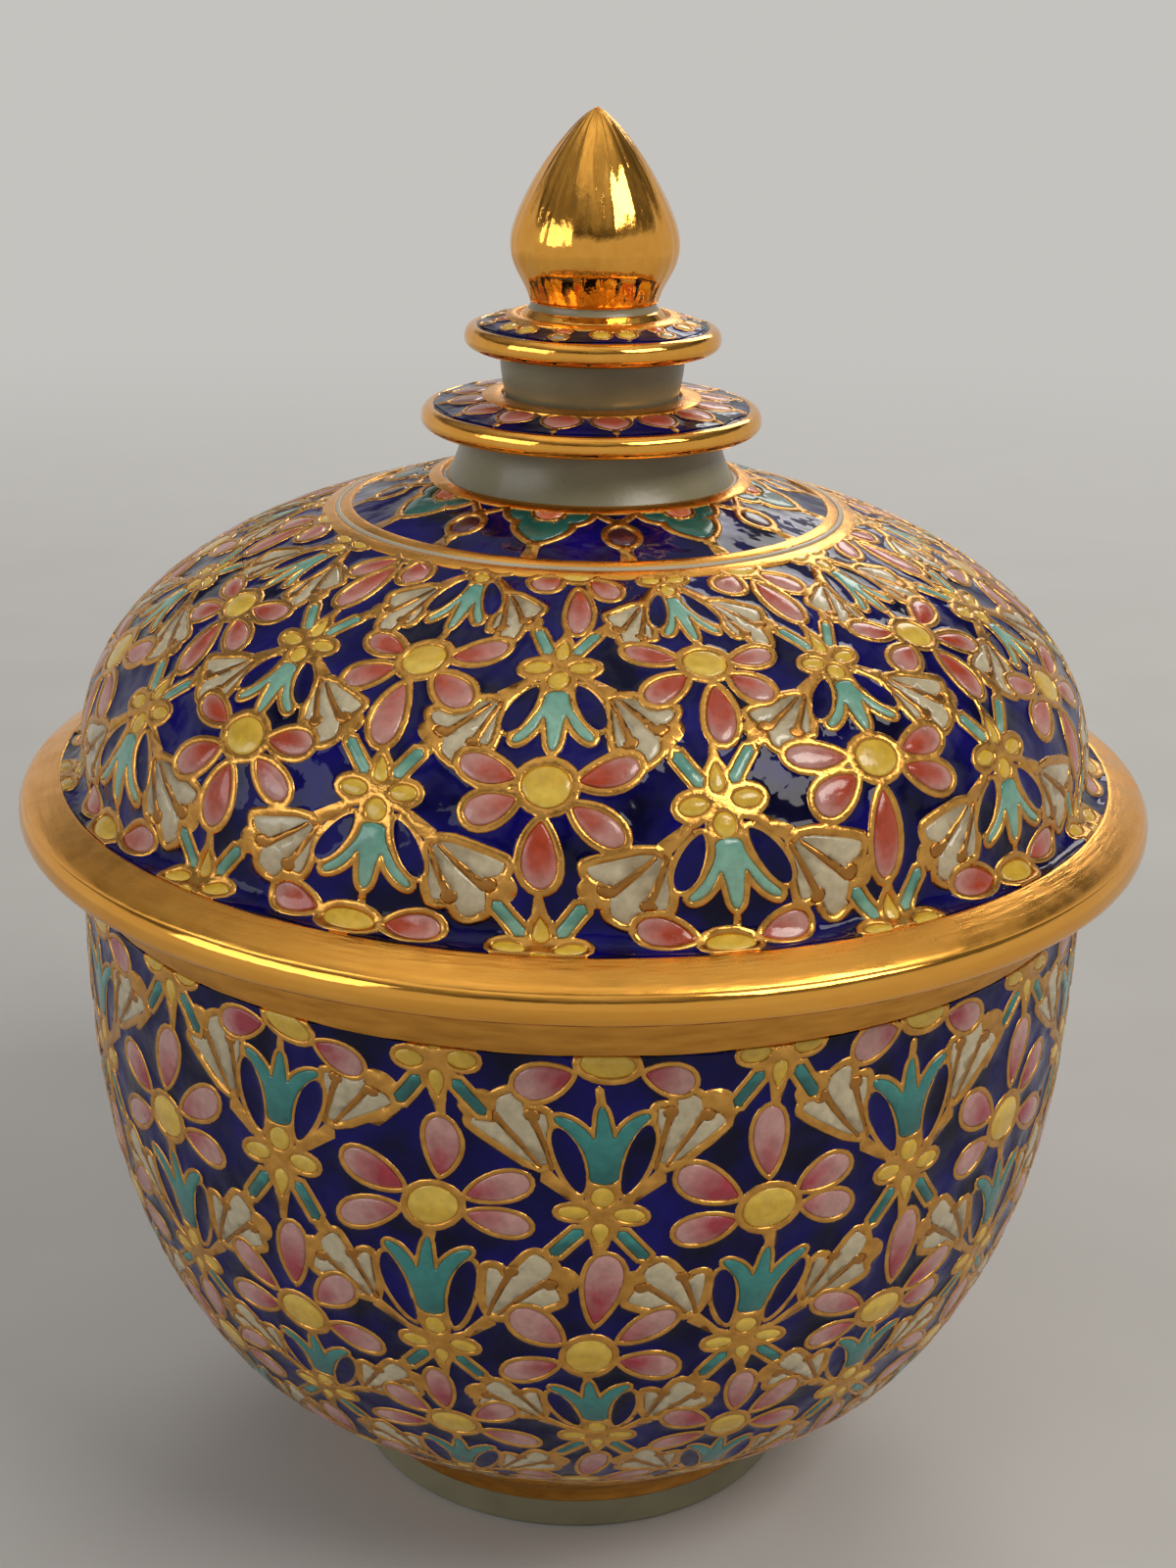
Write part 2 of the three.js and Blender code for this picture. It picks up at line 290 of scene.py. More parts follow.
# %% Gold
def gold(name, roughness, stroke, relief, low, high):
    """Brushed on in strokes round the axis, so noise is laid out by angle, radius and height.

    Stroke is how many millimetres a radian counts for, fewer for longer strokes, and their width.
    """
    material, tree, shader = new_finish(name)
    place = node(tree, "ShaderNodeTexCoord").outputs["Object"]
    place = node(tree, "ShaderNodeSeparateXYZ", place).outputs
    angle = calculated(tree, "ARCTAN2", place["Y"], place["X"])
    drawn_out = calculated(tree, "MULTIPLY", angle, stroke[0] * MM)
    flat = node(tree, "ShaderNodeCombineXYZ", place["X"], place["Y"]).outputs[0]
    reach = node(tree, "ShaderNodeVectorMath", flat, operation="LENGTH").outputs["Value"]
    laid = node(tree, "ShaderNodeCombineXYZ", drawn_out, reach, place["Z"]).outputs[0]
    noise = node(tree, "ShaderNodeTexNoise", Vector=laid, Scale=1 / (stroke[1] * MM), Detail=3.0)
    strokes = noise.outputs["Fac"]
    gloss = ramp(tree, grain(tree, 3.0, 3.0), (0.3, roughness * 0.7), (0.7, roughness * 1.3))
    tone = mixed(tree, strokes, low, high)
    dress(tree, shader, {"Base Color": tone, "Metallic": 1.0, "Roughness": gloss})
    bumped(tree, shader, strokes, relief)
    return material


BRIGHT_GOLD = gold("bright_gold", 0.09, (14, 1.6), 0.045, (0.84, 0.36, 0.048), (0.98, 0.51, 0.10))
SATIN_GOLD = gold("satin_gold", 0.27, (7, 0.7), 0.07, (0.90, 0.38, 0.050), (1.0, 0.51, 0.10))
# This gold's darker, mottled tone is painted shade, as under the flange's overhang and under the bowl.
GOLD_IN_PAINTED_SHADE = gold("gold_in_painted_shade", 0.22, (9, 0.8), 0.08, (0.34, 0.13, 0.020), (0.84, 0.41, 0.075))
# The line gold's strokes vary at random, and its dark brown end is painted shade on bright gold.
LINE_GOLD = gold("gold_line", 0.29, (40, 1.3), 0.13, (0.32, 0.13, 0.024), (0.94, 0.50, 0.115))
# The vein gold is bright gold darkened all over: painted shade.
VEIN_GOLD_IN_PAINTED_SHADE = gold("vein_gold_in_painted_shade", 0.30, (40, 0.9), 0.05, (0.36, 0.15, 0.030), (0.50, 0.24, 0.060))
print("Golds:", BRIGHT_GOLD.name, SATIN_GOLD.name, GOLD_IN_PAINTED_SHADE.name, LINE_GOLD.name, VEIN_GOLD_IN_PAINTED_SHADE.name)

# %% Enamels
def enamel(name, heart, tip, pooling):
    """Shades from heart to tip. Pooling makes a cell's middle more like the heart, below 0 less."""
    material, tree, shader = new_finish(name)
    kinds = ("along", "middle", "tint")
    given = (node(tree, "ShaderNodeAttribute", attribute_name=kind) for kind in kinds)
    along, middle, tint = (numbers.outputs["Fac"] for numbers in given)
    uneven = calculated(tree, "MULTIPLY_ADD", grain(tree, 1.5, 2.0), 0.55, along)
    pooled = calculated(tree, "MULTIPLY_ADD", middle, -pooling, uneven)
    washed = ramp(tree, calculated(tree, "SUBTRACT", pooled, tint), (0.12, heart), (0.72, tip))
    cloud = ramp(tree, grain(tree, 0.9, 4.0), (0.3, 0.72), (0.68, 1.0))
    tone = mixed(tree, 0.8, washed, cloud, "MULTIPLY")
    dress(tree, shader, {"Base Color": tone, "Roughness": 0.2, "Coat Weight": 0.3, "Coat Roughness": 0.06})
    bumped(tree, shader, grain(tree, 0.8, 2.0), 0.05)
    return material


# Name of the material, slot of the record, colours of heart and tip, and pooling.
ENAMEL_LOOKS = {
    "pink": ("pink_enamel", "pink_enamel", (0.46, 0.055, 0.016), (0.58, 0.27, 0.225), 0.36),
    "rose": ("rose_enamel", "pink_enamel", (0.40, 0.024, 0.044), (0.58, 0.30, 0.265), 0.15),
    "yellow": ("yellow_enamel", "yellow_enamel", (0.76, 0.47, 0.036), (0.85, 0.57, 0.075), 0.3),
    "turquoise": ("turquoise_enamel", "turquoise_enamel", (0.115, 0.345, 0.265), (0.24, 0.48, 0.36), -0.1),
    "teal": ("teal_enamel", "turquoise_enamel", (0.006, 0.135, 0.125), (0.030, 0.25, 0.225), 0.3),
    "cream": ("cream_enamel", "cream_enamel", (0.31, 0.23, 0.115), (0.60, 0.51, 0.325), -0.3),
    "green": ("green_enamel", "green_enamel", (0.005, 0.062, 0.048), (0.012, 0.13, 0.10), 0.3),
    "orange": ("red_enamel", "red_enamel", (0.66, 0.11, 0.025), (0.70, 0.33, 0.20), 0.6),
    "maroon": ("maroon_enamel", "red_enamel", (0.050, 0.008, 0.016), (0.095, 0.02, 0.035), 0.3),
}
ENAMELS = {kind: (enamel(name, *looks), slot) for kind, (name, slot, *looks) in ENAMEL_LOOKS.items()}
# Lines take the gold whose dark end is painted shade, veins the gold darkened all over as painted shade.
FINISHES = {
    "gold": (LINE_GOLD, "gold_line"), "vein": (VEIN_GOLD_IN_PAINTED_SHADE, "gold_line"),
    "ground": (COBALT, "cobalt_enamel"), **ENAMELS,
}
print("Enamels:", ", ".join(ENAMELS))

# %% [markdown]
# ## Outlines
# A thrown pot is a line turned round an axis, so a line is all that has to be drawn. It is made
# of arches for the long curves and of bends for the corners, with the same sizes as the model.
# The sizes are typed in again here, in millimetres, because the lesson opens no other file.

# %% Points of an outline
def bend(start, corner, end, steps=10):
    """A curve from start to end that is drawn towards the corner."""
    shares = [i / steps for i in range(steps + 1)]
    weights = [((1 - t) ** 2, 2 * t * (1 - t), t * t) for t in shares]
    return [tuple(u * a + v * b + w * c for a, b, c in zip(start, corner, end)) for u, v, w in weights]


def rounded(x, y, coming, going, steps=10):
    """A bend at the corner x, y. Coming and going are its ends, as seen from the corner."""
    return bend((x + coming[0], y + coming[1]), (x, y), (x + going[0], y + going[1]), steps)


def arch(radius, base, rise, fall_power, girth_power, reach=1.0, steps=64):
    """A dome's side from its widest point up, or down where rise is less than zero."""
    made = []
    for i in range(steps + 1):
        share = math.sin(math.asin(reach) * i / steps)
        girth = max(0.0, 1 - share ** fall_power) ** (1 / girth_power)
        made.append((radius * girth, base + rise * share))
    return made


# %% A measured outline
class Outline:
    """A line in radius and height, in millimetres, measured along its length."""

    def __init__(self, points):
        kept = [points[0]]
        for point in points[1:]:
            if math.dist(point, kept[-1]) > 1e-4:
                kept.append(point)
        self.points = kept
        self.r, self.z = np.array(kept).T
        self.along = np.concatenate([[0], np.cumsum(np.hypot(np.diff(self.r), np.diff(self.z)))])
        self.length = float(self.along[-1])
        rise, out = np.gradient(self.z, self.along), np.gradient(self.r, self.along)
        size = np.hypot(rise, out)
        self.out, self.up = rise / size, -out / size

    def radius(self, along):
        return np.interp(along, self.along, self.r)

    def nearest(self, radius, height):
        return float(self.along[np.argmin(np.hypot(self.r - radius, self.z - height))])

    def place(self, angle, along, lift):
        """Points on the turned surface, lifted off it. Angle 0 faces the camera."""
        radius = np.interp(along, self.along, self.r) + lift * np.interp(along, self.along, self.out)
        height = np.interp(along, self.along, self.z) + lift * np.interp(along, self.along, self.up)
        return np.stack([radius * np.sin(angle), -radius * np.cos(angle), height], -1)

    def stretch(self, start, end):
        """The part of the line between two lengths."""
        inside = (self.along > start + 1e-3) & (self.along < end - 1e-3)
        lengths = [start, *self.along[inside], end]
        return [(float(self.radius(s)), float(np.interp(s, self.along, self.z))) for s in lengths]


# %% The bowl's outline
BOWL_RADIUS, BOWL_WALL, RIM_HEIGHT, RIM_ROUND, RIM_BAND = 51.9, 3.0, 75.0, 0.9, 5.4
BELLY_POWERS, BELLY_CLOSING, BELLY_TURN, TURN_REACH = (3.08, 1.38), 1.22, 0.797, 3.6
WELL_POWERS, FLOOR_THICKNESS = (3.1, 2.7), 3.6
FOOT_RADIUS, FOOT_FLARE, FOOT_HEIGHT, FOOT_WALL, FOOT_ROUND = 24.4, 0.7, 6.0, 3.4, 0.6
BASE_MARGIN, BASE_EDGE, RECESS_RISE = 0.9, 1.2, 0.5
FOOT_TOP = FOOT_RADIUS + FOOT_FLARE
FOOT_INNER = FOOT_TOP - FOOT_WALL
BASE = (FOOT_TOP + BASE_MARGIN, FOOT_HEIGHT + BASE_EDGE)
UNDERSIDE = FOOT_HEIGHT + RECESS_RISE
BELLY_TOP = RIM_HEIGHT - RIM_BAND
WELL_RADIUS = BOWL_RADIUS - BOWL_WALL
CONE_STEPS, MODEL_STEPS = 24, 9

closing = (BELLY_TOP - BASE[1]) * BELLY_CLOSING
side = (BOWL_RADIUS, BELLY_TOP, -closing, *BELLY_POWERS, BELLY_TURN / BELLY_CLOSING)
belly = arch(*side)
# The cone leaves the belly in the direction of the model's own side, which has fewer points.
before, last = arch(*side, MODEL_STEPS)[-2:]
corner = Vector(last) + (Vector(last) - Vector(before)).normalized() * TURN_REACH
cone = bend(belly[-1], tuple(corner), BASE, CONE_STEPS)
rim_edge = rounded(BOWL_RADIUS, RIM_HEIGHT, (0, -RIM_ROUND), (-RIM_ROUND, 0))
BOWL_SIDE = Outline([*cone[::-1], *belly[::-1], *rim_edge])
well = arch(WELL_RADIUS, BELLY_TOP, -(BELLY_TOP - UNDERSIDE - FLOOR_THICKNESS), *WELL_POWERS)
print("The bowl's side is", round(BOWL_SIDE.length, 1), "mm from foot to rim")

# %% The lid's outline
DOME_RADIUS, DOME_RISE, DOME_POWERS, LID_WALL = BOWL_RADIUS - 0.5, 26.8, (2.11, 2), 3.0
COVE_WIDTH, COVE_HEIGHT, FLANGE_WIDTH, FLANGE_EDGE, FLANGE_FALL = 2.5, 2.35, 4.1, 2.9, 1.8
CROWN_RADIUS, CROWN_RISE, CROWN_BEND = 25.3, 3.4, (20, 1.67)
COLLAR_OUTER, COLLAR_WALL, COLLAR_DEPTH, COLLAR_ROUND, LEDGE = WELL_RADIUS - 0.8, 2.7, 5.0, 0.8, 1.8
COLLAR_INNER = COLLAR_OUTER - COLLAR_WALL
FLANGE_TOP = RIM_HEIGHT + FLANGE_EDGE + FLANGE_FALL
DOME_BASE = FLANGE_TOP + COVE_HEIGHT
CROWN_SHARE = (1 - (CROWN_RADIUS / DOME_RADIUS) ** DOME_POWERS[1]) ** (1 / DOME_POWERS[0])
RING_HEIGHT = DOME_BASE + DOME_RISE * CROWN_SHARE
LOWER_SEAT = RING_HEIGHT + CROWN_RISE
FLANGE_INNER = DOME_RADIUS + COVE_WIDTH
FLANGE_OUTER = FLANGE_INNER + FLANGE_WIDTH
EDGE_ROUND = FLANGE_EDGE / 2
SEAT_LIP, NECK_BASE = 0.3, 14.5

cove = rounded(DOME_RADIUS, FLANGE_TOP, (COVE_WIDTH, 0), (0, COVE_HEIGHT))
dome = arch(DOME_RADIUS, DOME_BASE, DOME_RISE, *DOME_POWERS, CROWN_SHARE)
shoulder_height = RIM_HEIGHT + FLANGE_EDGE + FLANGE_FALL * EDGE_ROUND / FLANGE_WIDTH
flange_shoulder = (FLANGE_OUTER - EDGE_ROUND, shoulder_height)
upper_edge = (FLANGE_OUTER, RIM_HEIGHT + FLANGE_EDGE)
flange_edge = [
    *rounded(FLANGE_OUTER, RIM_HEIGHT, (-EDGE_ROUND, 0), (0, EDGE_ROUND)),
    *bend((FLANGE_OUTER, RIM_HEIGHT + EDGE_ROUND), upper_edge, flange_shoulder),
    (FLANGE_INNER, FLANGE_TOP),
]
crown_middle = (CROWN_BEND[0], RING_HEIGHT + CROWN_BEND[1])
FLANGE = Outline(flange_edge)
DOME = Outline([*cove, *dome])
CROWN = Outline([(CROWN_RADIUS, RING_HEIGHT), crown_middle, (NECK_BASE + SEAT_LIP, LOWER_SEAT)])
print("The dome is", round(DOME.length, 1), "mm from flange to crown ring")

# %% [markdown]
# ## Turning and coating
# Every plain piece could be cut from ready-made rings and spheres, but a pot has none of these
# shapes exactly. So one helper turns a closed outline round the axis, as the potter's wheel does.
# The other lays a thin coat on a stretch of an outline, with soft ends, for enamel and gold: it
# reaches a hair below the surface, so no gap shows at its edge.

# %% Meshes and pieces
def add_piece(name, points, faces, finish, body, stands_for=(), sharp=40):
    """Points in millimetres become a smooth mesh that moves with a body of the model."""
    mesh = bpy.data.meshes.new(name)
    mesh.from_pydata((np.asarray(points) * MM).tolist(), [], faces)
    mesh.shade_smooth()
    mesh.set_sharp_from_angle(angle=math.radians(sharp))
    mesh.materials.append(finish)
    piece = bpy.data.objects.new(name, mesh)
    bpy.context.scene.collection.objects.link(piece)
    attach(piece, body)
    if stands_for:
        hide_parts(*stands_for)
    return piece


def turned(name, outline, finish, slot, body, stands_for=(), sides=240, ring=False, wobble=None):
    """Turns points of radius and height. A ring joins its last point to its first."""
    points, rows = [], []
    angles = np.arange(sides) * 2 * math.pi / sides
    for radius, height in outline:
        if radius < 1e-6:
            rows.append([len(points)] * sides)
            points.append((0.0, 0.0, height))
            continue
        rows.append(range(len(points), len(points) + sides))
        reach = radius + (wobble(angles, height) if wobble else np.zeros(sides))
        points.extend(zip(reach * np.sin(angles), -reach * np.cos(angles), [height] * sides))
    faces = []
    for low, high in list(zip(rows, rows[1:])) + ([(rows[-1], rows[0])] if ring else []):
        for i in range(sides):
            j = (i + 1) % sides
            corners = [low[i], low[j], high[j], high[i]]
            faces.append([c for k, c in enumerate(corners) if c != corners[k - 1]])
    return add_piece(name, points, faces, finish, body, stands_for)


# %% Thin coats
COAT_SINK, COAT_EDGE = 0.1, 0.3
COAT_END = ((0.0, 0.35), (0.3, 0.8), (1.0, 1.0))


def coat_outline(outline, start, end, lift, edge):
    """A closed outline between two lengths along a line. It rises over its edge, as COAT_END says."""
    inside = outline.along[(outline.along > start + edge * 1.5) & (outline.along < end - edge * 1.5)]
    rising = [-COAT_SINK, *(lift * height for _, height in COAT_END)]
    lengths = [start, *(start + edge * share for share, _ in COAT_END), *inside]
    lengths += [*(end - edge * share for share, _ in COAT_END[::-1]), end, *inside[::-1]]
    lifts = rising + [lift] * len(inside) + rising[::-1] + [-COAT_SINK] * len(inside)
    placed = outline.place(np.zeros(len(lengths)), np.array(lengths), np.array(lifts))
    return [(-y, z) for _, y, z in placed]


def coat(name, outline, start, end, lift, finish, slot, body, edge=COAT_EDGE, **more):
    return turned(name, coat_outline(outline, start, end, lift, edge), finish, slot, body, ring=True, **more)


# %% [markdown]
# ## The porcelain itself
# The bowl and the lid, with the collar that drops into the bowl's mouth, are white inside and
# under all their colour. The foot and the two necks of the finial stay bare and less glossy, as they
# were wiped before firing. Their dark olive-grey is painted shade, as under the bowl, the discs and
# the bud, over porcelain of a faintly green white. They are turned pieces of their own, because the
# potter turns them apart and joins them with wet clay.

# %% Bowl and foot
recess = [(0, UNDERSIDE), (FOOT_INNER - RECESS_RISE, UNDERSIDE), (FOOT_INNER, FOOT_HEIGHT)]
base_edge = bend((FOOT_TOP, FOOT_HEIGHT), (BASE[0], FOOT_HEIGHT), BASE)
rim_inside = rounded(WELL_RADIUS, RIM_HEIGHT, (RIM_ROUND, 0), (0, -RIM_ROUND))
bowl_outline = Outline([*recess, *base_edge, *BOWL_SIDE.points, *rim_inside, *well]).points
turned("bowl_porcelain", bowl_outline, GLAZE, "white_glaze", "bowl", ["bowl_wall"])


def foot_flare(height):
    """The curve from a height on the foot's side to its top, which spreads a little."""
    return bend((FOOT_RADIUS, height), (FOOT_RADIUS, FOOT_HEIGHT - FOOT_FLARE), (FOOT_TOP, FOOT_HEIGHT))


flare_start = FOOT_HEIGHT - FOOT_FLARE - FOOT_ROUND
foot_outline = [
    *rounded(FOOT_INNER, 0, (0, FOOT_ROUND), (FOOT_ROUND, 0), 6),
    *rounded(FOOT_RADIUS, 0, (-FOOT_ROUND, 0), (0, FOOT_ROUND), 6),
    *foot_flare(flare_start), (FOOT_INNER, FOOT_HEIGHT),
]
# The foot's dark porcelain is painted shade, as under the bowl.
turned("foot_porcelain", foot_outline, PORCELAIN_IN_PAINTED_SHADE, "bare_porcelain", "bowl", ["foot_ring"], ring=True)
print("The bowl's outline has", len(bowl_outline), "points, the foot's", len(foot_outline))

# %% Lid and collar
inner_radius, ledge_height = DOME_RADIUS - LID_WALL, RIM_HEIGHT + LEDGE
hollow = arch(inner_radius, DOME_BASE, LOWER_SEAT - LID_WALL - DOME_BASE, *DOME_POWERS)
ledge = bend((inner_radius, FLANGE_TOP), (inner_radius, ledge_height), (COLLAR_INNER, ledge_height))
lid_outline = Outline([
    *hollow[::-1], *ledge, (COLLAR_INNER, RIM_HEIGHT),
    *flange_edge, *cove, *dome, *CROWN.points, (0, LOWER_SEAT),
]).points
turned("lid_porcelain", lid_outline, GLAZE, "white_glaze", "lid", ["lid_dome"])

low = RIM_HEIGHT - COLLAR_DEPTH
collar_outline = [
    (COLLAR_INNER, RIM_HEIGHT),
    *rounded(COLLAR_INNER, low, (0, COLLAR_ROUND), (COLLAR_ROUND, 0), 6),
    *rounded(COLLAR_OUTER, low, (-COLLAR_ROUND, 0), (0, COLLAR_ROUND), 6),
    (COLLAR_OUTER, RIM_HEIGHT),
]
turned("collar_porcelain", collar_outline, GLAZE, "white_glaze", "lid", ["locating_collar"], ring=True)
print("The lid's outline has", len(lid_outline), "points, the collar's", len(collar_outline))

# %% Cobalt grounds
GROUND, GROUND_START, BAND_LOW = 0.08, 0.9, 71.6
band_start = BOWL_SIDE.nearest(BOWL_RADIUS, BAND_LOW)
coat("bowl_cobalt", BOWL_SIDE, GROUND_START, band_start, GROUND, COBALT, "cobalt_enamel", "bowl")
coat("dome_cobalt", DOME, 0.0, DOME.length, GROUND, COBALT, "cobalt_enamel", "lid")
coat("crown_cobalt", CROWN, 0.0, CROWN.length, GROUND, COBALT, "cobalt_enamel", "lid")
print("The cobalt ends", round(BOWL_SIDE.length - band_start, 1), "mm below the rim")

# %% [markdown]
# ## Gilded bands
# Gold covers the flange, the band under the rim and the top of the foot. Round the crown runs a
# pale line, where the gold is rubbed off the glaze, between two gold ones. These bands could be
# painted on the porcelain by a mask, but then they would have no edge, so they are coats too, a
# little thicker than the cobalt that they overlap.

# %% Bands of the flange, the rim and the foot
GILT = 0.2
SATIN_LIFT = GILT + 0.02
FLANGE_START, EDGE_GAP, SATIN_GAP, RIM_END = 1.0, 1.0, 1.3, 0.6
FOOT_GILT_DROP, FOOT_GILT_RISE = 1.3, 1.6
shoulder = FLANGE.nearest(*flange_shoulder)
band_end = BOWL_SIDE.length - RIM_END
gilt_start = foot_flare(flare_start - FOOT_GILT_DROP)
FOOT_SIDE = Outline([*gilt_start, *base_edge, *BOWL_SIDE.stretch(0, FOOT_GILT_RISE)])
BANDS = (
    ("flange_edge_gilding", FLANGE, FLANGE_START, shoulder - EDGE_GAP, GILT, BRIGHT_GOLD, "lid", 360),
    ("flange_gilding", FLANGE, shoulder - SATIN_GAP, FLANGE.length, SATIN_LIFT, SATIN_GOLD, "lid", 360),
    # Rim and foot are gilded with the gold that has painted shade in its tone.
    ("rim_gilding", BOWL_SIDE, band_start, band_end, GILT, GOLD_IN_PAINTED_SHADE, "bowl", 360),
    ("foot_gilding", FOOT_SIDE, 0.0, FOOT_SIDE.length, GILT, GOLD_IN_PAINTED_SHADE, "bowl", 240),
)
for name, outline, start, end, lift, finish, body, sides in BANDS:
    coat(name, outline, start, end, lift, finish, "gilding", body, sides=sides)
    print(name, "is", round(end - start, 1), "mm wide")

# %% Lines round the crown
RING_LIFT, PALE_LIFT, NECK_LIFT, PALE_REACH = 0.34, 0.43, 0.4, 0.32
ring_edge = Outline([*DOME.stretch(DOME.length - PALE_REACH, DOME.length), *CROWN.stretch(0.0, PALE_REACH)])
pale = (0.02, ring_edge.length - 0.02, PALE_LIFT)
coat("ring_outer_line", DOME, DOME.length - 1.7, DOME.length - 0.2, RING_LIFT, SATIN_GOLD, "gold_line", "lid")
coat("ring_inner_line", CROWN, 0.2, 1.5, RING_LIFT, SATIN_GOLD, "gold_line", "lid")
coat("ring_pale_line", ring_edge, *pale, PALE_LINE, "white_glaze", "lid", edge=0.2)
coat("neck_gold_line", CROWN, CROWN.length - 1.5, CROWN.length, NECK_LIFT, SATIN_GOLD, "gold_line", "lid")
print("The pale line is", round(ring_edge.length, 2), "mm wide")

# %% [markdown]
# ## The finial
# Two tiers and a bud stand on the crown. Each tier is a bare neck that carries a disc, gilded
# round its edge, with enamel on its top. The bud is gilded all over above a short stem, which is
# bare but for a gold line at its foot. All are turned, like the rest, from outlines that were read
# off the picture. Only the bud is not quite round: faint folds break up what its gold reflects.

# %% Tiers
DISC_EDGE, DISC_GILT, DISC_RISE = 2.35, 1.1, 0.95
DISC_GILT_LIFT, DISC_LINE_LIFT = 0.15, 0.4
# Radii of the base, the neck, the disc and the next piece, the neck's height, the line's width.
TIERS = {
    "lower": dict(base=NECK_BASE, neck=13.0, height=4.7, disc=16.9, next=8.6, ring=2.1),
    "upper": dict(base=8.6, neck=9.2, height=4.6, disc=12.6, next=7.2, ring=1.2),
}
TOPS = {}
seat = LOWER_SEAT
for name, t in TIERS.items():
    low = seat + t["height"]
    middle, high, top = low + DISC_EDGE / 2, low + DISC_EDGE, low + DISC_EDGE + DISC_RISE
    neck = bend((t["base"], seat), (t["neck"], seat + t["height"] / 2), (t["neck"], low))
    under = bend((t["neck"], low), (t["disc"], low), (t["disc"], middle))
    shoulder = bend((t["disc"], middle), (t["disc"], high), (t["disc"] - DISC_GILT, high))
    slope = [shoulder[-1], (t["next"] + SEAT_LIP, top)]
    outline = Outline([(0, seat), *neck, *under, *shoulder, slope[1], (0, top)]).points
    stands_for = ["finial_" + name + "_tier"]
    # The necks' dark porcelain is painted shade, as under the discs.
    turned(name + "_tier_porcelain", outline, PORCELAIN_IN_PAINTED_SHADE, "bare_porcelain", "lid", stands_for, sides=160)
    edge = Outline([*under[2:], *shoulder])
    gilt = (0.0, edge.length, DISC_GILT_LIFT)
    coat(name + "_disc_gilding", edge, *gilt, BRIGHT_GOLD, "gilding", "lid", sides=200)
    disc = Outline([slope[0], tuple((a + b) / 2 for a, b in zip(*slope)), slope[1]])
    coat(name + "_disc_cobalt", disc, 0.0, disc.length, GROUND, COBALT, "cobalt_enamel", "lid", sides=160)
    line = (disc.length - t["ring"], disc.length, DISC_LINE_LIFT)
    coat(name + "_disc_line", disc, *line, SATIN_GOLD, "gold_line", "lid", sides=160)
    TOPS[name] = disc
    seat = top
BUD_SEAT = seat
print("The bud stands", round(BUD_SEAT, 2), "mm up")

# %% Stem and bud
STEM_FOOT, STEM, STEM_HEIGHT, STEM_GILT = 7.2, 6.15, 1.6, 0.14
BUD_RADIUS, BUD_SWELL, BUD_TAPER, BUD_POWERS = 8.3, 5.5, 12.8, (1.3, 1.33)
BUD_STEPS, BUD_SOFTENING, BUD_DROP, BUD_LIP, STEM_INSIDE = 20, 30, 0.1, 0.06, 0.4


def swell(a, b, c, d, steps):
    """A curve from a to d. It leaves a towards b and arrives at d from c."""
    shares = [i / steps for i in range(steps + 1)]
    weights = [((1 - t) ** 3, 3 * t * (1 - t) ** 2, 3 * t * t * (1 - t), t ** 3) for t in shares]
    return [tuple(sum(w * p[k] for w, p in zip(row, (a, b, c, d))) for k in (0, 1)) for row in weights]


def petal_folds(angles, height):
    """Faint upright hollows, at most a tenth of a millimetre deep."""
    slow = 0.05 * np.sin(9 * angles + 0.4) * np.sin(height * 0.35)
    return slow + 0.03 * np.sin(23 * angles + height * 0.2) + 0.016 * np.sin(41 * angles - height * 0.15)


stem_top = BUD_SEAT + STEM_HEIGHT
widest = stem_top + BUD_SWELL
stem = bend((STEM_FOOT, BUD_SEAT), (STEM, BUD_SEAT + STEM_HEIGHT / 2), (STEM, stem_top))
stem_outline = [(0, BUD_SEAT), *stem, (0, stem_top + STEM_INSIDE)]
# The stem's dark porcelain is painted shade, as under the bud.
turned("stem_porcelain", stem_outline, PORCELAIN_IN_PAINTED_SHADE, "bare_porcelain", "lid", sides=160)
foot_side = Outline(stem[:6])
coat("stem_gilding", foot_side, 0.0, foot_side.length, STEM_GILT, BRIGHT_GOLD, "gilding", "lid", sides=160)

leaving, arriving = (STEM, stem_top + BUD_SWELL / 3), (BUD_RADIUS, widest - BUD_SWELL / 2)
lower_bud = swell((STEM, stem_top), leaving, arriving, (BUD_RADIUS, widest), BUD_STEPS)
upper_bud = arch(BUD_RADIUS, widest, BUD_TAPER, *BUD_POWERS)
bud_side = np.array(Outline([*lower_bud, *upper_bud]).points)
for _ in range(BUD_SOFTENING):
    bud_side[1:-1] = (bud_side[:-2] + 2 * bud_side[1:-1] + bud_side[2:]) / 4
bud_side[:, 0] *= BUD_RADIUS / bud_side[:, 0].max()
bud_outline = [(0, stem_top - BUD_DROP), (STEM + BUD_LIP, stem_top - BUD_DROP), *map(tuple, bud_side)]
turned(
    "bud_gilding", bud_outline, BRIGHT_GOLD, "gilding", "lid", ["finial_bud"],
    sides=160, wobble=petal_folds,
)
print("The bud's tip is", round(bud_outline[-1][1], 2), "mm up")

# %% [markdown]
# ## Drawing the ornament
# The painter first draws every outline in raised gold and then fills the cells with enamel. The
# drawing could be a picture wrapped round the pot, but then it would have no relief, so here each
# cell is a loop of points. A loop is drawn flat, in millimetres from the middle of its motif, with
# v pointing to the rim, and then laid on the pot by its angle and its length along the outline.

# %% Petals and ovals
def teardrop(start, end, half_width, count=22, slim=1.1):
    """A petal: narrow where it starts, round where it ends. The less slim, the fuller its start."""
    start, end = np.array(start, float), np.array(end, float)
    turn = np.arange(count) * 2 * math.pi / count
    across = np.sin(turn) * np.sin(turn / 2) ** slim
    across *= half_width / across.max()
    line = end - start
    side = np.array([line[1], -line[0]]) / np.hypot(*line)
    return start + np.outer((1 - np.cos(turn)) / 2, line) + np.outer(across, side)


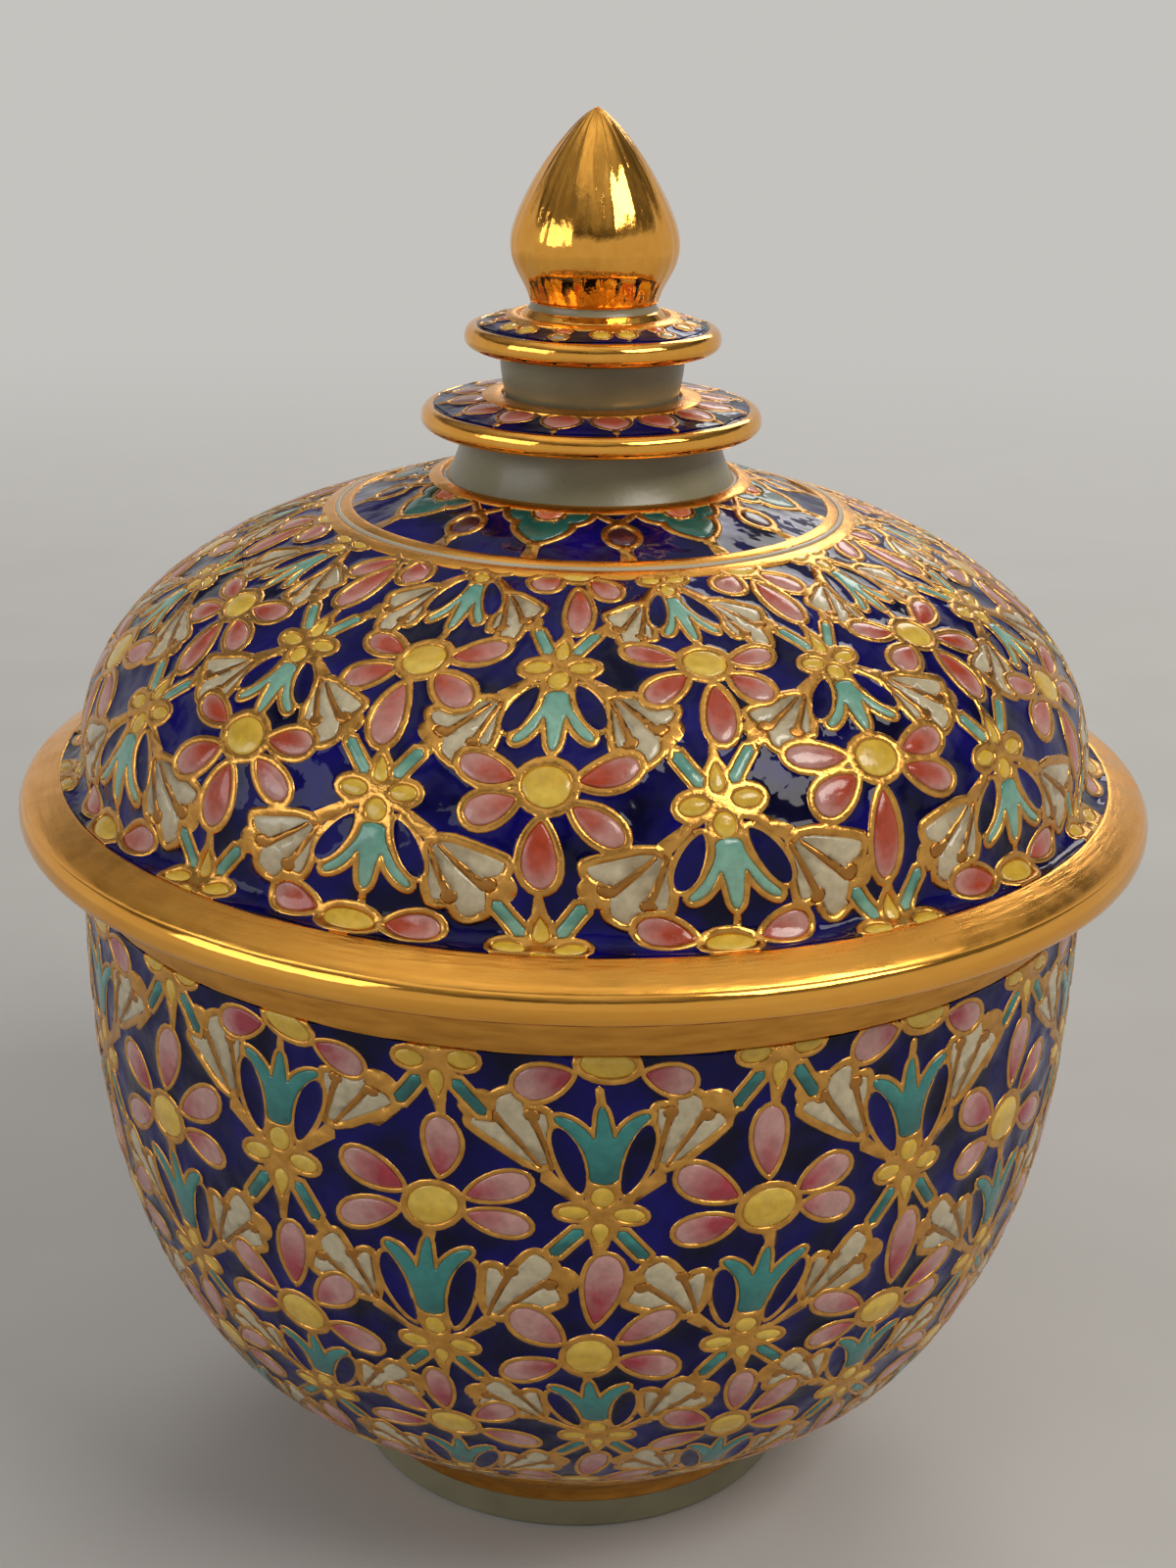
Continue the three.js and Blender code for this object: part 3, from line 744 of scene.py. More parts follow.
def oval(centre, half_width, half_height, lean=0.0, count=18):
    turn = np.arange(count) * 2 * math.pi / count
    x, y = half_width * np.cos(turn), half_height * np.sin(turn)
    c, s = math.cos(lean), math.sin(lean)
    return np.stack([centre[0] + c * x - s * y, centre[1] + s * x + c * y], -1)


def shrunk(loop, share):
    return loop.mean(0) + share * (loop - loop.mean(0))


# %% Free outlines and brush strokes
CORNER_CUTS = 2


def softened(corners):
    """Cuts the corners of a closed outline until it is smooth."""
    loop = np.array(corners, float)
    for _ in range(CORNER_CUTS):
        ahead = np.roll(loop, -1, 0)
        loop = np.stack([0.75 * loop + 0.25 * ahead, 0.25 * loop + 0.75 * ahead], 1).reshape(-1, 2)
    return loop


def mirrored(corners):
    """Both halves of an outline that was given for its left half, from the bottom to the tip."""
    return corners + [(-x, y) for x, y in corners[::-1] if x != 0]


def stroke(points, half_widths):
    """A brush stroke along points, with rounded ends."""
    points = np.array(points, float)
    widths = np.interp(np.linspace(0, 1, len(points)), np.linspace(0, 1, len(half_widths)), half_widths)
    ahead = np.gradient(points, axis=0)
    ahead /= np.hypot(ahead[:, 0], ahead[:, 1])[:, None]
    side = np.stack([-ahead[:, 1], ahead[:, 0]], -1) * widths[:, None]
    first = points[:1] - ahead[:1] * widths[0] * 0.8
    last = points[-1:] + ahead[-1:] * widths[-1] * 0.8
    return np.concatenate([first, points - side, last, (points + side)[::-1]])


def grown(loop, distance):
    """The loop moved outwards, or inwards where the distance is less than zero."""
    ahead = np.roll(loop, -1, 0)
    edge = ahead - loop
    turned_left = np.sum(loop[:, 0] * ahead[:, 1] - loop[:, 1] * ahead[:, 0]) > 0
    normal = np.stack([edge[:, 1], -edge[:, 0]], -1) * (1 if turned_left else -1)
    normal /= np.maximum(np.hypot(normal[:, 0], normal[:, 1]), 1e-9)[:, None]
    both = normal + np.roll(normal, 1, 0)
    both /= np.maximum((both ** 2).sum(1) / 2, 0.5)[:, None]
    return loop + both * distance


print("A petal loop has", len(teardrop((0, 0), (0, 1), 1)), "points, an oval", len(oval((0, 0), 1, 1)))

# %% [markdown]
# ### A place for each motif
# Rows stand closer together and columns get narrower where the pot does. A Motif keeps the middle
# of one flower and how much smaller than full size it is across, towards the rim and away from
# it. So each cell is drawn once, in full size, and always meets its neighbours. Where loops lie
# over each other, the higher rank shows: a petal's gold over a leaf, and its enamel over gold.

# %% Motif
FULL_COLUMN, FULL_ROW = 15.0, 13.7
POOL_EDGE, CELL_SHOULDER = 0.35, 0.24
RANKS = {"pool": 0, "leaf line": 1, "leaf": 2, "vein": 3, "line": 4, "cell": 5, "jewel line": 6, "jewel": 7}


class Motif:
    def __init__(self, outline, towards_rim, angle, along, column, up, down, luck, line):
        self.outline, self.towards_rim, self.angle, self.along = outline, towards_rim, angle, along
        self.across = column * float(outline.radius(along)) / FULL_COLUMN
        self.up, self.down = up / FULL_ROW, down / FULL_ROW
        self.size = (self.across + (self.up + self.down) / 2) / 2
        self.line = line * min(1.0, 0.35 + 0.65 * self.size)
        self.luck, self.loops = luck, []

    def spot(self, u, v):
        """Full-size place to real millimetres."""
        return u * self.across, v * (self.up if v > 0 else self.down)

    def spots(self, corners, side=1):
        return [self.spot(side * u, v) for u, v in corners]

    def laid(self, points):
        """Real millimetres to angle and length along the outline."""
        points = np.asarray(points, float)
        along = self.along + self.towards_rim * points[:, 1]
        return np.stack([self.angle + points[:, 0] / self.outline.radius(along), along], -1)

    def add(self, points, finish, rank, root=None, tip=None, tint=0.0):
        axis = None if root is None else self.laid([root, tip])
        self.loops.append((self.laid(points), finish, RANKS[rank], axis, tint))

    def cell(self, points, finish, root=None, tip=None, line=None, cushion=(0.55, 0.15)):
        """An enamel cell inside its gold line. The inner loops let it rise to its middle."""
        line = line or self.line
        self.add(grown(points, line + POOL_EDGE), "ground", "pool")
        for share in (0.22, 0.78, 1.0):
            self.add(grown(points, line * share), "gold", "line")
        root = points.mean(0) if root is None else root
        tip = points.mean(0) + (0.0, 1.0) if tip is None else tip
        tint = float(self.luck.random())
        for loop in (points, grown(points, -CELL_SHOULDER), *(shrunk(points, share) for share in cushion)):
            self.add(loop, finish, "cell", root, tip, tint)

    def drawn(self, points, half_widths, side=1, rank="line"):
        """A gold brush stroke. Points and widths are in full size."""
        widths = [width * self.size for width in half_widths]
        self.add(stroke(self.spots(points, side), widths), "gold", rank)


# %% [markdown]
# ### The flower
# A yellow heart, one long petal straight to the rim and two on each side. The place of a sixth
# petal is taken by the stem. At the lid's edge, where there is less room, only two side petals
# open. No two are drawn quite alike, so angles and lengths vary a little.

# %% Flower
# Degrees from the rim's side, where a petal starts and ends, and half its width.
SIDE_PETALS = ((60, 3.0, 8.3, 1.36), (-60, 3.0, 8.3, 1.36), (103, 3.05, 8.2, 1.26), (-103, 3.05, 8.2, 1.26))
PETALS = ((0, 2.95, 9.2, 1.48), *SIDE_PETALS)
EDGE_PETALS = ((101, 3.0, 7.5, 1.3), (-101, 3.0, 7.5, 1.3))
EDGE_HEART = (2.3, 1.15)


def flower(motif, style, at_edge=False):
    luck, k = motif.luck, motif.size
    wide, high = EDGE_HEART if at_edge else style["heart"]
    wide, high = wide * k * luck.uniform(0.95, 1.06), high * k * luck.uniform(0.95, 1.06)
    motif.cell(oval((0, 0), wide, high, luck.uniform(-0.2, 0.2)), "yellow", line=style["collar"] * k)
    for degrees, near, far, half_width in EDGE_PETALS if at_edge else PETALS:
        lean = math.radians(degrees + luck.uniform(-8, 8))
        far = far * luck.uniform(0.93, 1.05)
        root = motif.spot(near * math.sin(lean), near * math.cos(lean))
        tip = motif.spot(far * math.sin(lean), far * math.cos(lean))
        wide = half_width * k * luck.uniform(0.92, 1.08)
        motif.cell(teardrop(root, tip, wide, slim=0.6), style["petal"], root, tip)
    if not at_edge:
        motif.drawn([(0, -2.2), (luck.uniform(-0.3, 0.3), -3.4), (0, -5.0)], [0.7, 0.42, 0.4])


print("A flower has", len(PETALS), "petals, at the edge", len(EDGE_PETALS))

# %% [markdown]
# ### The bell
# Its heart is a cross of four yellow ovals. Towards the rim opens a turquoise bell with three
# points, between two dark almonds. Behind them spread two fan leaves, each of three cream fingers
# that dark gold veins part, and each vein ends in a curl. Away from the rim a spike and two
# turquoise bars lead on to the next row. Bell and leaf differ on dome and bowl, so their corners
# stand in a style for each.

# %% Styles of dome and bowl
WIDE_BELL = [
    (-1.25, 3.3), (-1.3, 5.0), (-1.85, 6.7), (-2.8, 8.1), (-4.1, 9.3), (-3.7, 9.75), (-2.4, 9.3),
    (-1.3, 8.3), (-0.8, 7.3), (-0.6, 8.6), (-0.4, 9.9), (0, 10.6),
]
SLIM_BELL = [
    (-1.1, 3.2), (-1.25, 4.6), (-2.0, 6.0), (-3.0, 7.4), (-4.3, 8.6), (-4.0, 9.2), (-2.9, 8.6),
    (-1.9, 7.5), (-1.15, 5.9), (-0.85, 6.6), (-0.7, 8.0), (-0.5, 9.4), (0, 10.1),
]
# In full-size millimetres. An almond has two ends and half a width, a leaf a root and three tips.
DOME_STYLE = {
    "petal": "pink", "heart": (2.2, 1.95), "collar": 0.95, "line": 0.74,
    "bell": "turquoise", "shape": SLIM_BELL, "almond": ((2.0, 2.6), (5.0, 7.8), 1.02),
    "bar": ((1.5, -1.6), (3.2, -3.9)), "vein": 1.45, "border": 0.14,
    "leaves": (
        ((4.9, 3.3), (12.2, 6.6), (10.2, 11.4), (6.9, 10.0)),
        ((4.9, 3.3), (12.6, 7.3), (10.9, 11.6), (7.5, 9.8)),
    ),
}
BOWL_STYLE = {
    "petal": "rose", "heart": (2.25, 1.8), "collar": 0.65, "line": 0.5,
    "bell": "teal", "shape": WIDE_BELL, "almond": ((1.8, 2.3), (3.9, 8.6), 1.05),
    "bar": ((1.7, -1.7), (3.5, -3.9)), "vein": 1.2, "border": 0.3,
    "leaves": (
        ((4.3, 3.4), (10.6, 9.3), (7.6, 11.6), (5.2, 10.5)),
        ((4.6, 2.9), (11.5, 6.1), (10.2, 9.3), (6.0, 8.5)),
    ),
}
print("Bells:", DOME_STYLE["bell"], "on the dome,", BOWL_STYLE["bell"], "on the bowl")

# %% Fan leaf
FINGER_WIDTHS = (1.1, 1.45, 0.95)
# Corners of a finger's end: steps forward from its tip, and shares of its width to the side.
FINGER_END = ((-0.7, 1), (0, 0.6), (0, -0.6), (-0.7, -1))
# Where the points of a vein lie between root and notch, and half its width there.
VEIN_PLACES, VEIN_WIDTHS = (0.2, 0.45, 0.75, 0.98), (0.14, 0.2, 0.24, 0.3)
VEIN_BOWS, CURL = (0.35, -0.3), 0.55


def fan_corners(root, tips):
    """Corners of three fingers that open from one root, and the notches between them."""
    corners, notches = [root], []
    for tip, wide in zip(tips, FINGER_WIDTHS):
        ahead = (tip - root) / np.hypot(*(tip - root))
        aside = np.array([ahead[1], -ahead[0]])
        if len(corners) > 1:
            notch = (corners[-1] + tip - 0.7 * ahead + wide * aside) / 2
            notches.append(notch - 0.35 * (notch - root) / np.hypot(*(notch - root)))
            corners.append(notches[-1])
        for forward, across in FINGER_END:
            corners.append(tip + forward * ahead + across * wide * aside)
    return corners, notches


def fan_leaf(motif, side, style, places):
    k, vein = motif.size, style["vein"]
    root, *tips = (np.array(place) for place in places)
    tips = [root + (tip - root) * motif.luck.uniform(0.95, 1.03) for tip in tips]
    corners, notches = fan_corners(root, tips)
    blade = softened(motif.spots(corners, side))
    axis = motif.spots([root, tips[1]], side)
    tint = float(motif.luck.random())
    motif.add(grown(blade, motif.line + POOL_EDGE), "ground", "pool")
    for share in (0.5, 1.0):
        motif.add(grown(blade, motif.line * share), "gold", "leaf line")
    stalk = [(1.2, 0.9), (root[0] * 0.6, root[1] * 0.55), (root[0] + 0.6, root[1] + 0.5)]
    motif.drawn(stalk, (0.5, 0.4, 0.7), side, "leaf line")
    knob = motif.spots([tips[0] + 0.35 * (tips[1] - tips[0])], side)[0]
    motif.add(oval(knob, 2.0 * k, 1.6 * k), "gold", "leaf line")
    cream = grown(blade, -style["border"] * k)
    for loop in (cream, grown(cream, -0.22), shrunk(cream, 0.55)):
        motif.add(loop, "cream", "leaf", *axis, tint)
    for notch, bow in zip(notches, VEIN_BOWS):
        line = [root + share * (notch - root) + bow * math.sin(math.pi * share) for share in VEIN_PLACES]
        # Veins are drawn in gold darkened all over as painted shade.
        motif.add(stroke(motif.spots(line, side), [w * vein * k for w in VEIN_WIDTHS]), "vein", "vein")
        end = motif.spots([line[-1] + (0.7 * bow, -0.3)], side)[0]
        curl = CURL * vein * k
        motif.add(oval(end, curl, curl * 0.85, 0, 10), "vein", "vein")


# %% Bell
# Middle, half width and half height of three ovals. The fourth is a drop, drawn below them.
BELL_HEART = (((0, 1.95), 1.0, 1.0), ((-2.3, 0.1), 1.3, 0.72), ((2.3, 0.1), 1.3, 0.72))


def bell(motif, style, row):
    luck, k = motif.luck, motif.size
    for (u, v), wide, high in BELL_HEART:
        centre = motif.spot(u, v + luck.uniform(-0.15, 0.15))
        motif.cell(oval(centre, wide * k, high * k, luck.uniform(-0.15, 0.15), 16), "yellow")
    motif.cell(teardrop(motif.spot(0, -3.0), motif.spot(0, -0.7), 0.68 * k, 14), "yellow")
    motif.add(oval((0, 0), 2.3 * k, 1.6 * k), "gold", "line")
    motif.add(oval(motif.spot(0, 2.6), 1.95 * k, 1.0 * k), "gold", "line")
    for side in (-1, 1):
        *ends, wide = style["almond"]
        almond = teardrop(*motif.spots(ends, side), wide * k, slim=0.3)
        motif.add(grown(almond, 0.5), "gold", "line")
        motif.add(almond, "ground", "cell")
        motif.add(grown(almond, -0.3), "ground", "cell")
        fan_leaf(motif, side, style, style["leaves"][0 if row < 2 else 1])
        (u0, v0), (u1, v1) = style["bar"]
        bar = motif.spots([(u0, v0), ((u0 + u1) / 2, (v0 + v1) / 2), (u1, v1)], side)
        motif.cell(stroke(bar, [0.5 * k]), style["bell"], line=0.5 * k)
        motif.drawn([(u1, v1), (u1 + 1.3, v1 - 1.4), (u1 + 2.6, v1 - 2.8)], [0.8], side, "leaf line")
    body = softened(motif.spots(mirrored(style["shape"])))
    line = style["line"] * 0.85 * k
    motif.cell(body, style["bell"], motif.spot(0, 3), motif.spot(0, 10), line=line, cushion=())
    motif.drawn([(0, 9.5), (0, 10.9), (0, 12.0)], [0.5, 0.4, 0.35])
    motif.drawn([(0, -2.6), (0, -3.9), (0, -5.0)], [0.8, 0.5, 0.35])


# %% [markdown]
# ## Cutting the drawing into a net
# Gold and enamel must share their edges, or gaps would show. All loops of a zone are given at once
# to a Delaunay triangulation, which cuts every loop by every other. Each triangle then belongs to
# the highest ranked loop that it lies in, or to the one drawn last where two have the same rank.

# %% Inside or outside
def inside(loop, points):
    """Which points a loop winds round. Crossing loops are no trouble."""
    x, y = points[:, 0, None], points[:, 1, None]
    x0, y0 = loop.T
    x1, y1 = np.roll(loop, -1, 0).T
    side = (x1 - x0) * (y - y0) - (x - x0) * (y1 - y0)
    up = (y0 <= y) & (y1 > y) & (side > 0)
    down = (y0 > y) & (y1 <= y) & (side < 0)
    return (up.sum(1) - down.sum(1)) != 0


def owners(loops, flat, middle):
    """The number of the loop that each triangle's middle belongs to, or -1."""
    order = np.argsort(middle[:, 0])
    sorted_x = middle[order, 0]
    rank, owner = np.zeros(len(middle), int), np.full(len(middle), -1)
    for number, (loop, (_, _, level, _, _)) in enumerate(zip(flat, loops)):
        start, end = np.searchsorted(sorted_x, (loop[:, 0].min(), loop[:, 0].max()))
        near = order[start:end]
        near = near[(middle[near, 1] > loop[:, 1].min()) & (middle[near, 1] < loop[:, 1].max())]
        near = near[rank[near] <= level]
        hit = near[inside(loop, middle[near])] if len(near) else near
        rank[hit], owner[hit] = level, number
    return owner


# %% Net of triangles
SEAM = math.pi
FRAME_POINTS, NET_TOLERANCE = 25, 1e-4


def cut_net(outline, loops, low, high):
    """Cuts a zone between two lengths, from seam to seam, and tells which loop each triangle is in."""
    scale = float(outline.radius((low + high) / 2))
    left, right = -SEAM * scale, SEAM * scale
    flat = [np.stack([loop[0][:, 0] * scale, loop[0][:, 1]], -1) for loop in loops]
    levels = np.linspace(low, high, FRAME_POINTS)
    frame_loop = np.concatenate([
        np.stack([np.full(FRAME_POINTS, right), levels], -1),
        np.stack([np.full(FRAME_POINTS, left), levels[::-1]], -1),
    ])
    points, edges = [], []
    for loop in [frame_loop, *flat]:
        first = len(points)
        points.extend(Vector(point) for point in loop.tolist())
        edges.extend((first + i, first + (i + 1) % len(loop)) for i in range(len(loop)))
    made = delaunay_2d_cdt(points, edges, [], 0, NET_TOLERANCE, False)
    spots, triangles = np.array([tuple(v) for v in made[0]]), np.array(made[2])
    triangles = triangles[inside(frame_loop, spots[triangles].mean(1))]
    owner = owners(loops, flat, spots[triangles].mean(1))
    return np.stack([spots[:, 0] / scale, spots[:, 1]], -1), triangles, owner


def joined_seam(spots, triangles):
    """Makes the two sides of the seam one, at the back of the pot."""
    left, right = spots[:, 0].min(), spots[:, 0].max()
    near_left = np.flatnonzero(spots[:, 0] < left + 1e-5)
    near_right = np.flatnonzero(spots[:, 0] > right - 1e-5)
    target = np.arange(len(spots))
    for i in near_right:
        j = near_left[np.argmin(abs(spots[near_left, 1] - spots[i, 1]))]
        if abs(spots[j, 1] - spots[i, 1]) < 0.02:
            target[i] = j
    return target[triangles]


# %% [markdown]
# ### Raising the coats
# A triangle net is flat. Each point is now lifted by how far it lies from the edge of its colour,
# so gold becomes a rounded bead and enamel a low cushion. All finishes meet at one height, so no
# gap opens between them, and a short skirt takes every edge down into the ground. A piece with
# very many triangles would be thinned out when the bowl is exported, so it is made in two.

# %% Relief of each finish
# Height in the middle of a colour, and how far from its edge that is reached.
PROFILES = {"gold": (0.24, 0.27), "vein": (0.20, 0.20), "enamel": (0.27, 0.75), "ground": (0.01, 0.6)}
BASE_LIFT, EDGE_LIFT, SKIRT = 0.12, 0.11, -0.05
# Each wave: how many go round the pot, how fast it turns along it, and where it starts.
WAVES = ((23, 0.31, 0.4), (41, 0.52, 1.9), (67, -0.44, 2.6), (97, 0.83, 5.1))
WAVE_DEPTH = 0.009
MOST_TRIANGLES = 195000
CREASE = 75


def waves(angle, along):
    """Thick glass is never quite even: slow waves, a few hundredths of a millimetre deep."""
    return sum(WAVE_DEPTH * np.sin(n * angle + k * along + shift) for n, k, shift in WAVES)


def edge_distance(ground, border):
    """How far each point lies from the nearest border, which is known by its ends and middles."""
    tree = kdtree.KDTree(len(border) * 2)
    ends, others = ground[border[:, 0]], ground[border[:, 1]]
    for i, point in enumerate(np.concatenate([ends, (ends + others) / 2])):
        tree.insert(point, i)
    tree.balance()
    away = np.array([tree.find(point)[2] for point in ground])
    away[border[:, 0]] = 0.0
    return away


# %% Raised pieces
def raised(name, outline, spots, triangles, profile, finish, slot, body, values):
    """One finish of a zone, raised by its profile. Values are numbers that its shader reads."""
    used, faces = np.unique(triangles, return_inverse=True)
    faces = faces.reshape(-1, 3)
    sides = np.concatenate([faces[:, [0, 1]], faces[:, [1, 2]], faces[:, [2, 0]]])
    _, first, count = np.unique(np.sort(sides, 1), axis=0, return_index=True, return_counts=True)
    alone = first[count == 1]
    border = sides[alone]

    angle, along = spots[used].T
    top_lift, reach = PROFILES[profile]
    share = np.clip(edge_distance(outline.place(angle, along, 0.0), border) / reach, 0, 1)
    lift = EDGE_LIFT + (top_lift - EDGE_LIFT) * share * (2 - share)
    if profile == "ground":
        lift = lift + share * waves(angle, along)
    top, low = outline.place(angle, along, BASE_LIFT + lift), outline.place(angle, along, BASE_LIFT + SKIRT)

    edge_points = np.unique(border)
    below = np.zeros(len(used), int)
    below[edge_points] = len(used) + np.arange(len(edge_points))
    walls = np.stack([below[border[:, 0]], below[border[:, 1]], border[:, 1], border[:, 0]], -1)
    points = np.concatenate([top, low[edge_points]])
    numbers = {key: number[used] for key, number in values.items()}
    if values:
        numbers["middle"] = share
    numbers = {key: np.concatenate([number, number[edge_points]]) for key, number in numbers.items()}

    shares = {"": (faces, walls)}
    if len(faces) + 2 * len(walls) > MOST_TRIANGLES:
        height = along[faces].mean(1)
        upper = height > np.median(height)
        upper_walls = upper[alone % len(faces)]
        lower_half, upper_half = (faces[~upper], walls[~upper_walls]), (faces[upper], walls[upper_walls])
        shares = {"_lower": lower_half, "_upper": upper_half}
    for ending, (mine, my_walls) in shares.items():
        own = np.unique(np.concatenate([mine.ravel(), my_walls.ravel()]))
        place = np.zeros(len(points), int)
        place[own] = np.arange(len(own))
        shapes = place[mine].tolist() + place[my_walls].tolist()
        piece = add_piece(name + ending, points[own], shapes, finish, body, sharp=CREASE)
        for key, number in numbers.items():
            number = number[own].astype(np.float32)
            piece.data.attributes.new(key, "FLOAT", "POINT").data.foreach_set("value", number)


# %% From loops to pieces
TINT_REACH = 0.4


def shader_numbers(outline, loops, spots, triangles, owner):
    """How far along its petal each point lies, and the tint of its cell."""
    along, tint = np.zeros(len(spots)), np.zeros(len(spots))
    for number in np.unique(owner[owner >= 0]):
        _, finish, _, axis, luck = loops[number]
        if finish in ENAMELS:
            mine = np.unique(triangles[owner == number])
            line = axis[1] - axis[0]
            radius = float(outline.radius(axis[0, 1]))
            metric = np.array([radius * radius, 1.0])
            offset = spots[mine] - axis[0]
            along[mine] = np.clip((offset * line * metric).sum(1) / (line * line * metric).sum(), 0, 1)
            tint[mine] = luck * TINT_REACH
    return {"along": along, "tint": tint}


def decorate(zone, outline, loops, low, high, body):
    """Cuts a zone's drawing and makes a piece of every finish in it."""
    spots, triangles, owner = cut_net(outline, loops, low, high)
    triangles = joined_seam(spots, triangles)
    names = np.array([loops[number][1] if number >= 0 else "ground" for number in owner])
    values = shader_numbers(outline, loops, spots, triangles, owner)
    for finish in sorted(set(names)):
        profile, numbers = ("enamel", values) if finish in ENAMELS else (finish, {})
        name, mine = zone + "_" + finish, triangles[names == finish]
        raised(name, outline, spots, mine, profile, *FINISHES[finish], body, numbers)
    print(zone, "has", len(loops), "loops and", len(triangles), "triangles")


# %% [markdown]
# ## The great pattern
# Flowers and bells stand like the squares of a chessboard, twenty columns round. They could stand
# on an even grid, but the painter set them by eye. So each row stands where the picture shows it,
# has its own turn, and moves its flowers and its bells a little off its line. On the bowl the
# columns stand somewhat closer at the front. A slow wave bends the whole drawing by less than a
# millimetre, as a hand that draws it freely would.

# %% Rows of flowers and bells
COLUMNS = 20
COLUMN = 2 * math.pi / COLUMNS
SHAKE = 0.3


def bent(loop, outline, seed):
    angle, along = loop.T
    sway = 0.45 * np.sin(3 * angle + 0.21 * along + seed) + 0.25 * np.sin(7 * angle - 0.33 * along + 2 * seed)
    drift = 0.40 * np.sin(4 * angle + 0.17 * along + 3 * seed) + 0.25 * np.sin(9 * angle + 0.29 * along)
    return np.stack([angle + sway / outline.radius(along), along + drift], -1)


def chessboard(outline, rows, towards_rim, seed, first_angle, style, crowding=0.0):
    """A row is its length along the outline, the offsets of its flowers and its bells, and its turn."""
    loops = []
    lengths = [(along + bell_off, along + flower_off) for along, flower_off, bell_off, _ in rows]
    for row, (*_, turn) in enumerate(rows):
        for column in range(-1, COLUMNS + 1):
            luck = np.random.default_rng([seed, row, column % COLUMNS])
            angle = math.radians(first_angle + turn) + column * COLUMN - SEAM
            angle -= crowding * math.sin(angle)
            blooms = (row + column) % 2 == 0
            along = lengths[row][blooms]
            before = abs(lengths[row - 1][not blooms] - along) if row else abs(rows[1][0] - rows[0][0])
            after = abs(lengths[row + 1][not blooms] - along) if row + 1 < len(rows) else before
            height = along + luck.uniform(-SHAKE, SHAKE)
            motif = Motif(outline, towards_rim, angle, height, COLUMN, before, after, luck, style["line"])
            flower(motif, style, row == 0) if blooms else bell(motif, style, row)
            loops += motif.loops
    return [(bent(loop[0], outline, seed), *loop[1:]) for loop in loops]


# %% Dome
DOME_TURN, DOME_MARGIN = 13.6, 1.0
# Radius and height of a row, the offsets of its flowers and of its bells, and its turn in degrees.
DOME_ROWS = (
    ((52.5, 80.9), -0.3, -0.8, 0.0),
    ((47.7, 92.7), 0.5, -1.6, 0.9),
    ((37.0, 100.9), -1.5, -2.3, 1.2),
    ((26.5, 105.2), 1.3, 0.0, 1.5),
)
dome_rows = [(DOME.nearest(*place), *rest) for place, *rest in DOME_ROWS]
dome_loops = chessboard(DOME, dome_rows, -1, 1, DOME_TURN, DOME_STYLE)
decorate("dome", DOME, dome_loops, 0.0, DOME.length - DOME_MARGIN, "lid")

# %% Bowl
BOWL_TURN, BOWL_CROWDING, LAST_ROW, INNER_RADIUS = 2.5, 0.07, 11.5, 36.0
# The first points of the bowl's side, which still widen, so that a radius can be looked up.
WIDENING = slice(0, 40)
# Height of a row, then as on the dome.
BOWL_ROWS = (
    (68.9, -0.2, 0.0, 1.1),
    (54.4, -1.0, 0.0, 0.0),
    (38.1, -0.3, 0.0, 0.0),
    (26.9, 0.0, 0.0, 0.0),
    (16.9, 0.0, 0.0, 0.0),
)
bowl_rows = [(float(np.interp(height, BOWL_SIDE.z, BOWL_SIDE.along)), *rest) for height, *rest in BOWL_ROWS]
bowl_rows.append((bowl_rows[-1][0] - LAST_ROW, 0.0, 0.0, 0.0))
inner_line = float(np.interp(INNER_RADIUS, BOWL_SIDE.r[WIDENING], BOWL_SIDE.along[WIDENING]))
bowl_loops = chessboard(BOWL_SIDE, bowl_rows, 1, 2, BOWL_TURN, BOWL_STYLE, BOWL_CROWDING)
decorate("bowl", BOWL_SIDE, bowl_loops, inner_line, band_start, "bowl")
last_line = (inner_line - 0.9, inner_line + 0.1, 0.32)
coat("under_gold_line", BOWL_SIDE, *last_line, BRIGHT_GOLD, "gold_line", "bowl")

# %% [markdown]
# ## The small zones
# Round the finial, on its two discs and under the bowl there is less room, so each has its own
# simple motif: lotus and almond, petal, pair and drop, tulip. They could be squeezed versions of
# the flower, but the painter drew them apart, so they are drawn in real millimetres, with v
# pointing outwards or to the rim.

# %% Motifs at their true size
SMALL_LINE = 0.85


def at_true_size(outline, towards_rim, degrees, radius, seed):
    """A motif that isn't squeezed: its full size is its real size."""
    angle, along = math.radians(degrees), float(outline.along[np.argmin(abs(outline.r - radius))])
    column = FULL_COLUMN / float(outline.radius(along))
    luck = np.random.default_rng(seed)
    return Motif(outline, towards_rim, angle, along, column, FULL_ROW, FULL_ROW, luck, SMALL_LINE)


print("Lines of the small zones are", SMALL_LINE, "mm to each side")

# %% Crown
CROWN_REPEATS, CROWN_TURN, LOTUS_RADIUS = 8, -148.5, 15.6
LOTUS = [
    (0, 0.6), (-1.7, 0.7), (-3.0, 0.5), (-3.9, 1.2), (-3.8, 2.4), (-2.9, 3.1), (-2.2, 2.9), (-2.5, 4.1),
    (-1.7, 5.4), (0, 6.8),
]


def lotus(motif):
    motif.cell(softened(mirrored(LOTUS)), "green", (0, 0), (0, 6))
    heart = oval((0, 1.5), 1.35, 1.05)
    motif.add(grown(heart, 0.45), "gold", "jewel line")
    motif.add(heart, "orange", "jewel", (0, 2.7), (0, 0.4), float(motif.luck.random()))
    motif.drawn([(0, 6.6), (0, 7.8), (0, 9.4)], [0.9, 0.6, 0.8])


def crown_almond(motif):
    motif.cell(oval((0, 5.3), 1.25, 1.6), "maroon", line=0.75)
    motif.drawn([(0, 7.2), (0, 8.2), (0, 9.6)], [0.9, 0.6, 0.8])
    motif.drawn([(0, 3.9), (0, 3.1), (0, 2.6)], [0.9, 0.6, 0.5])
    for side in (-1, 1):
        motif.drawn([(0, 3.2), (1.5, 1.8), (3.0, 0.2)], [0.5, 0.42, 0.45], side)


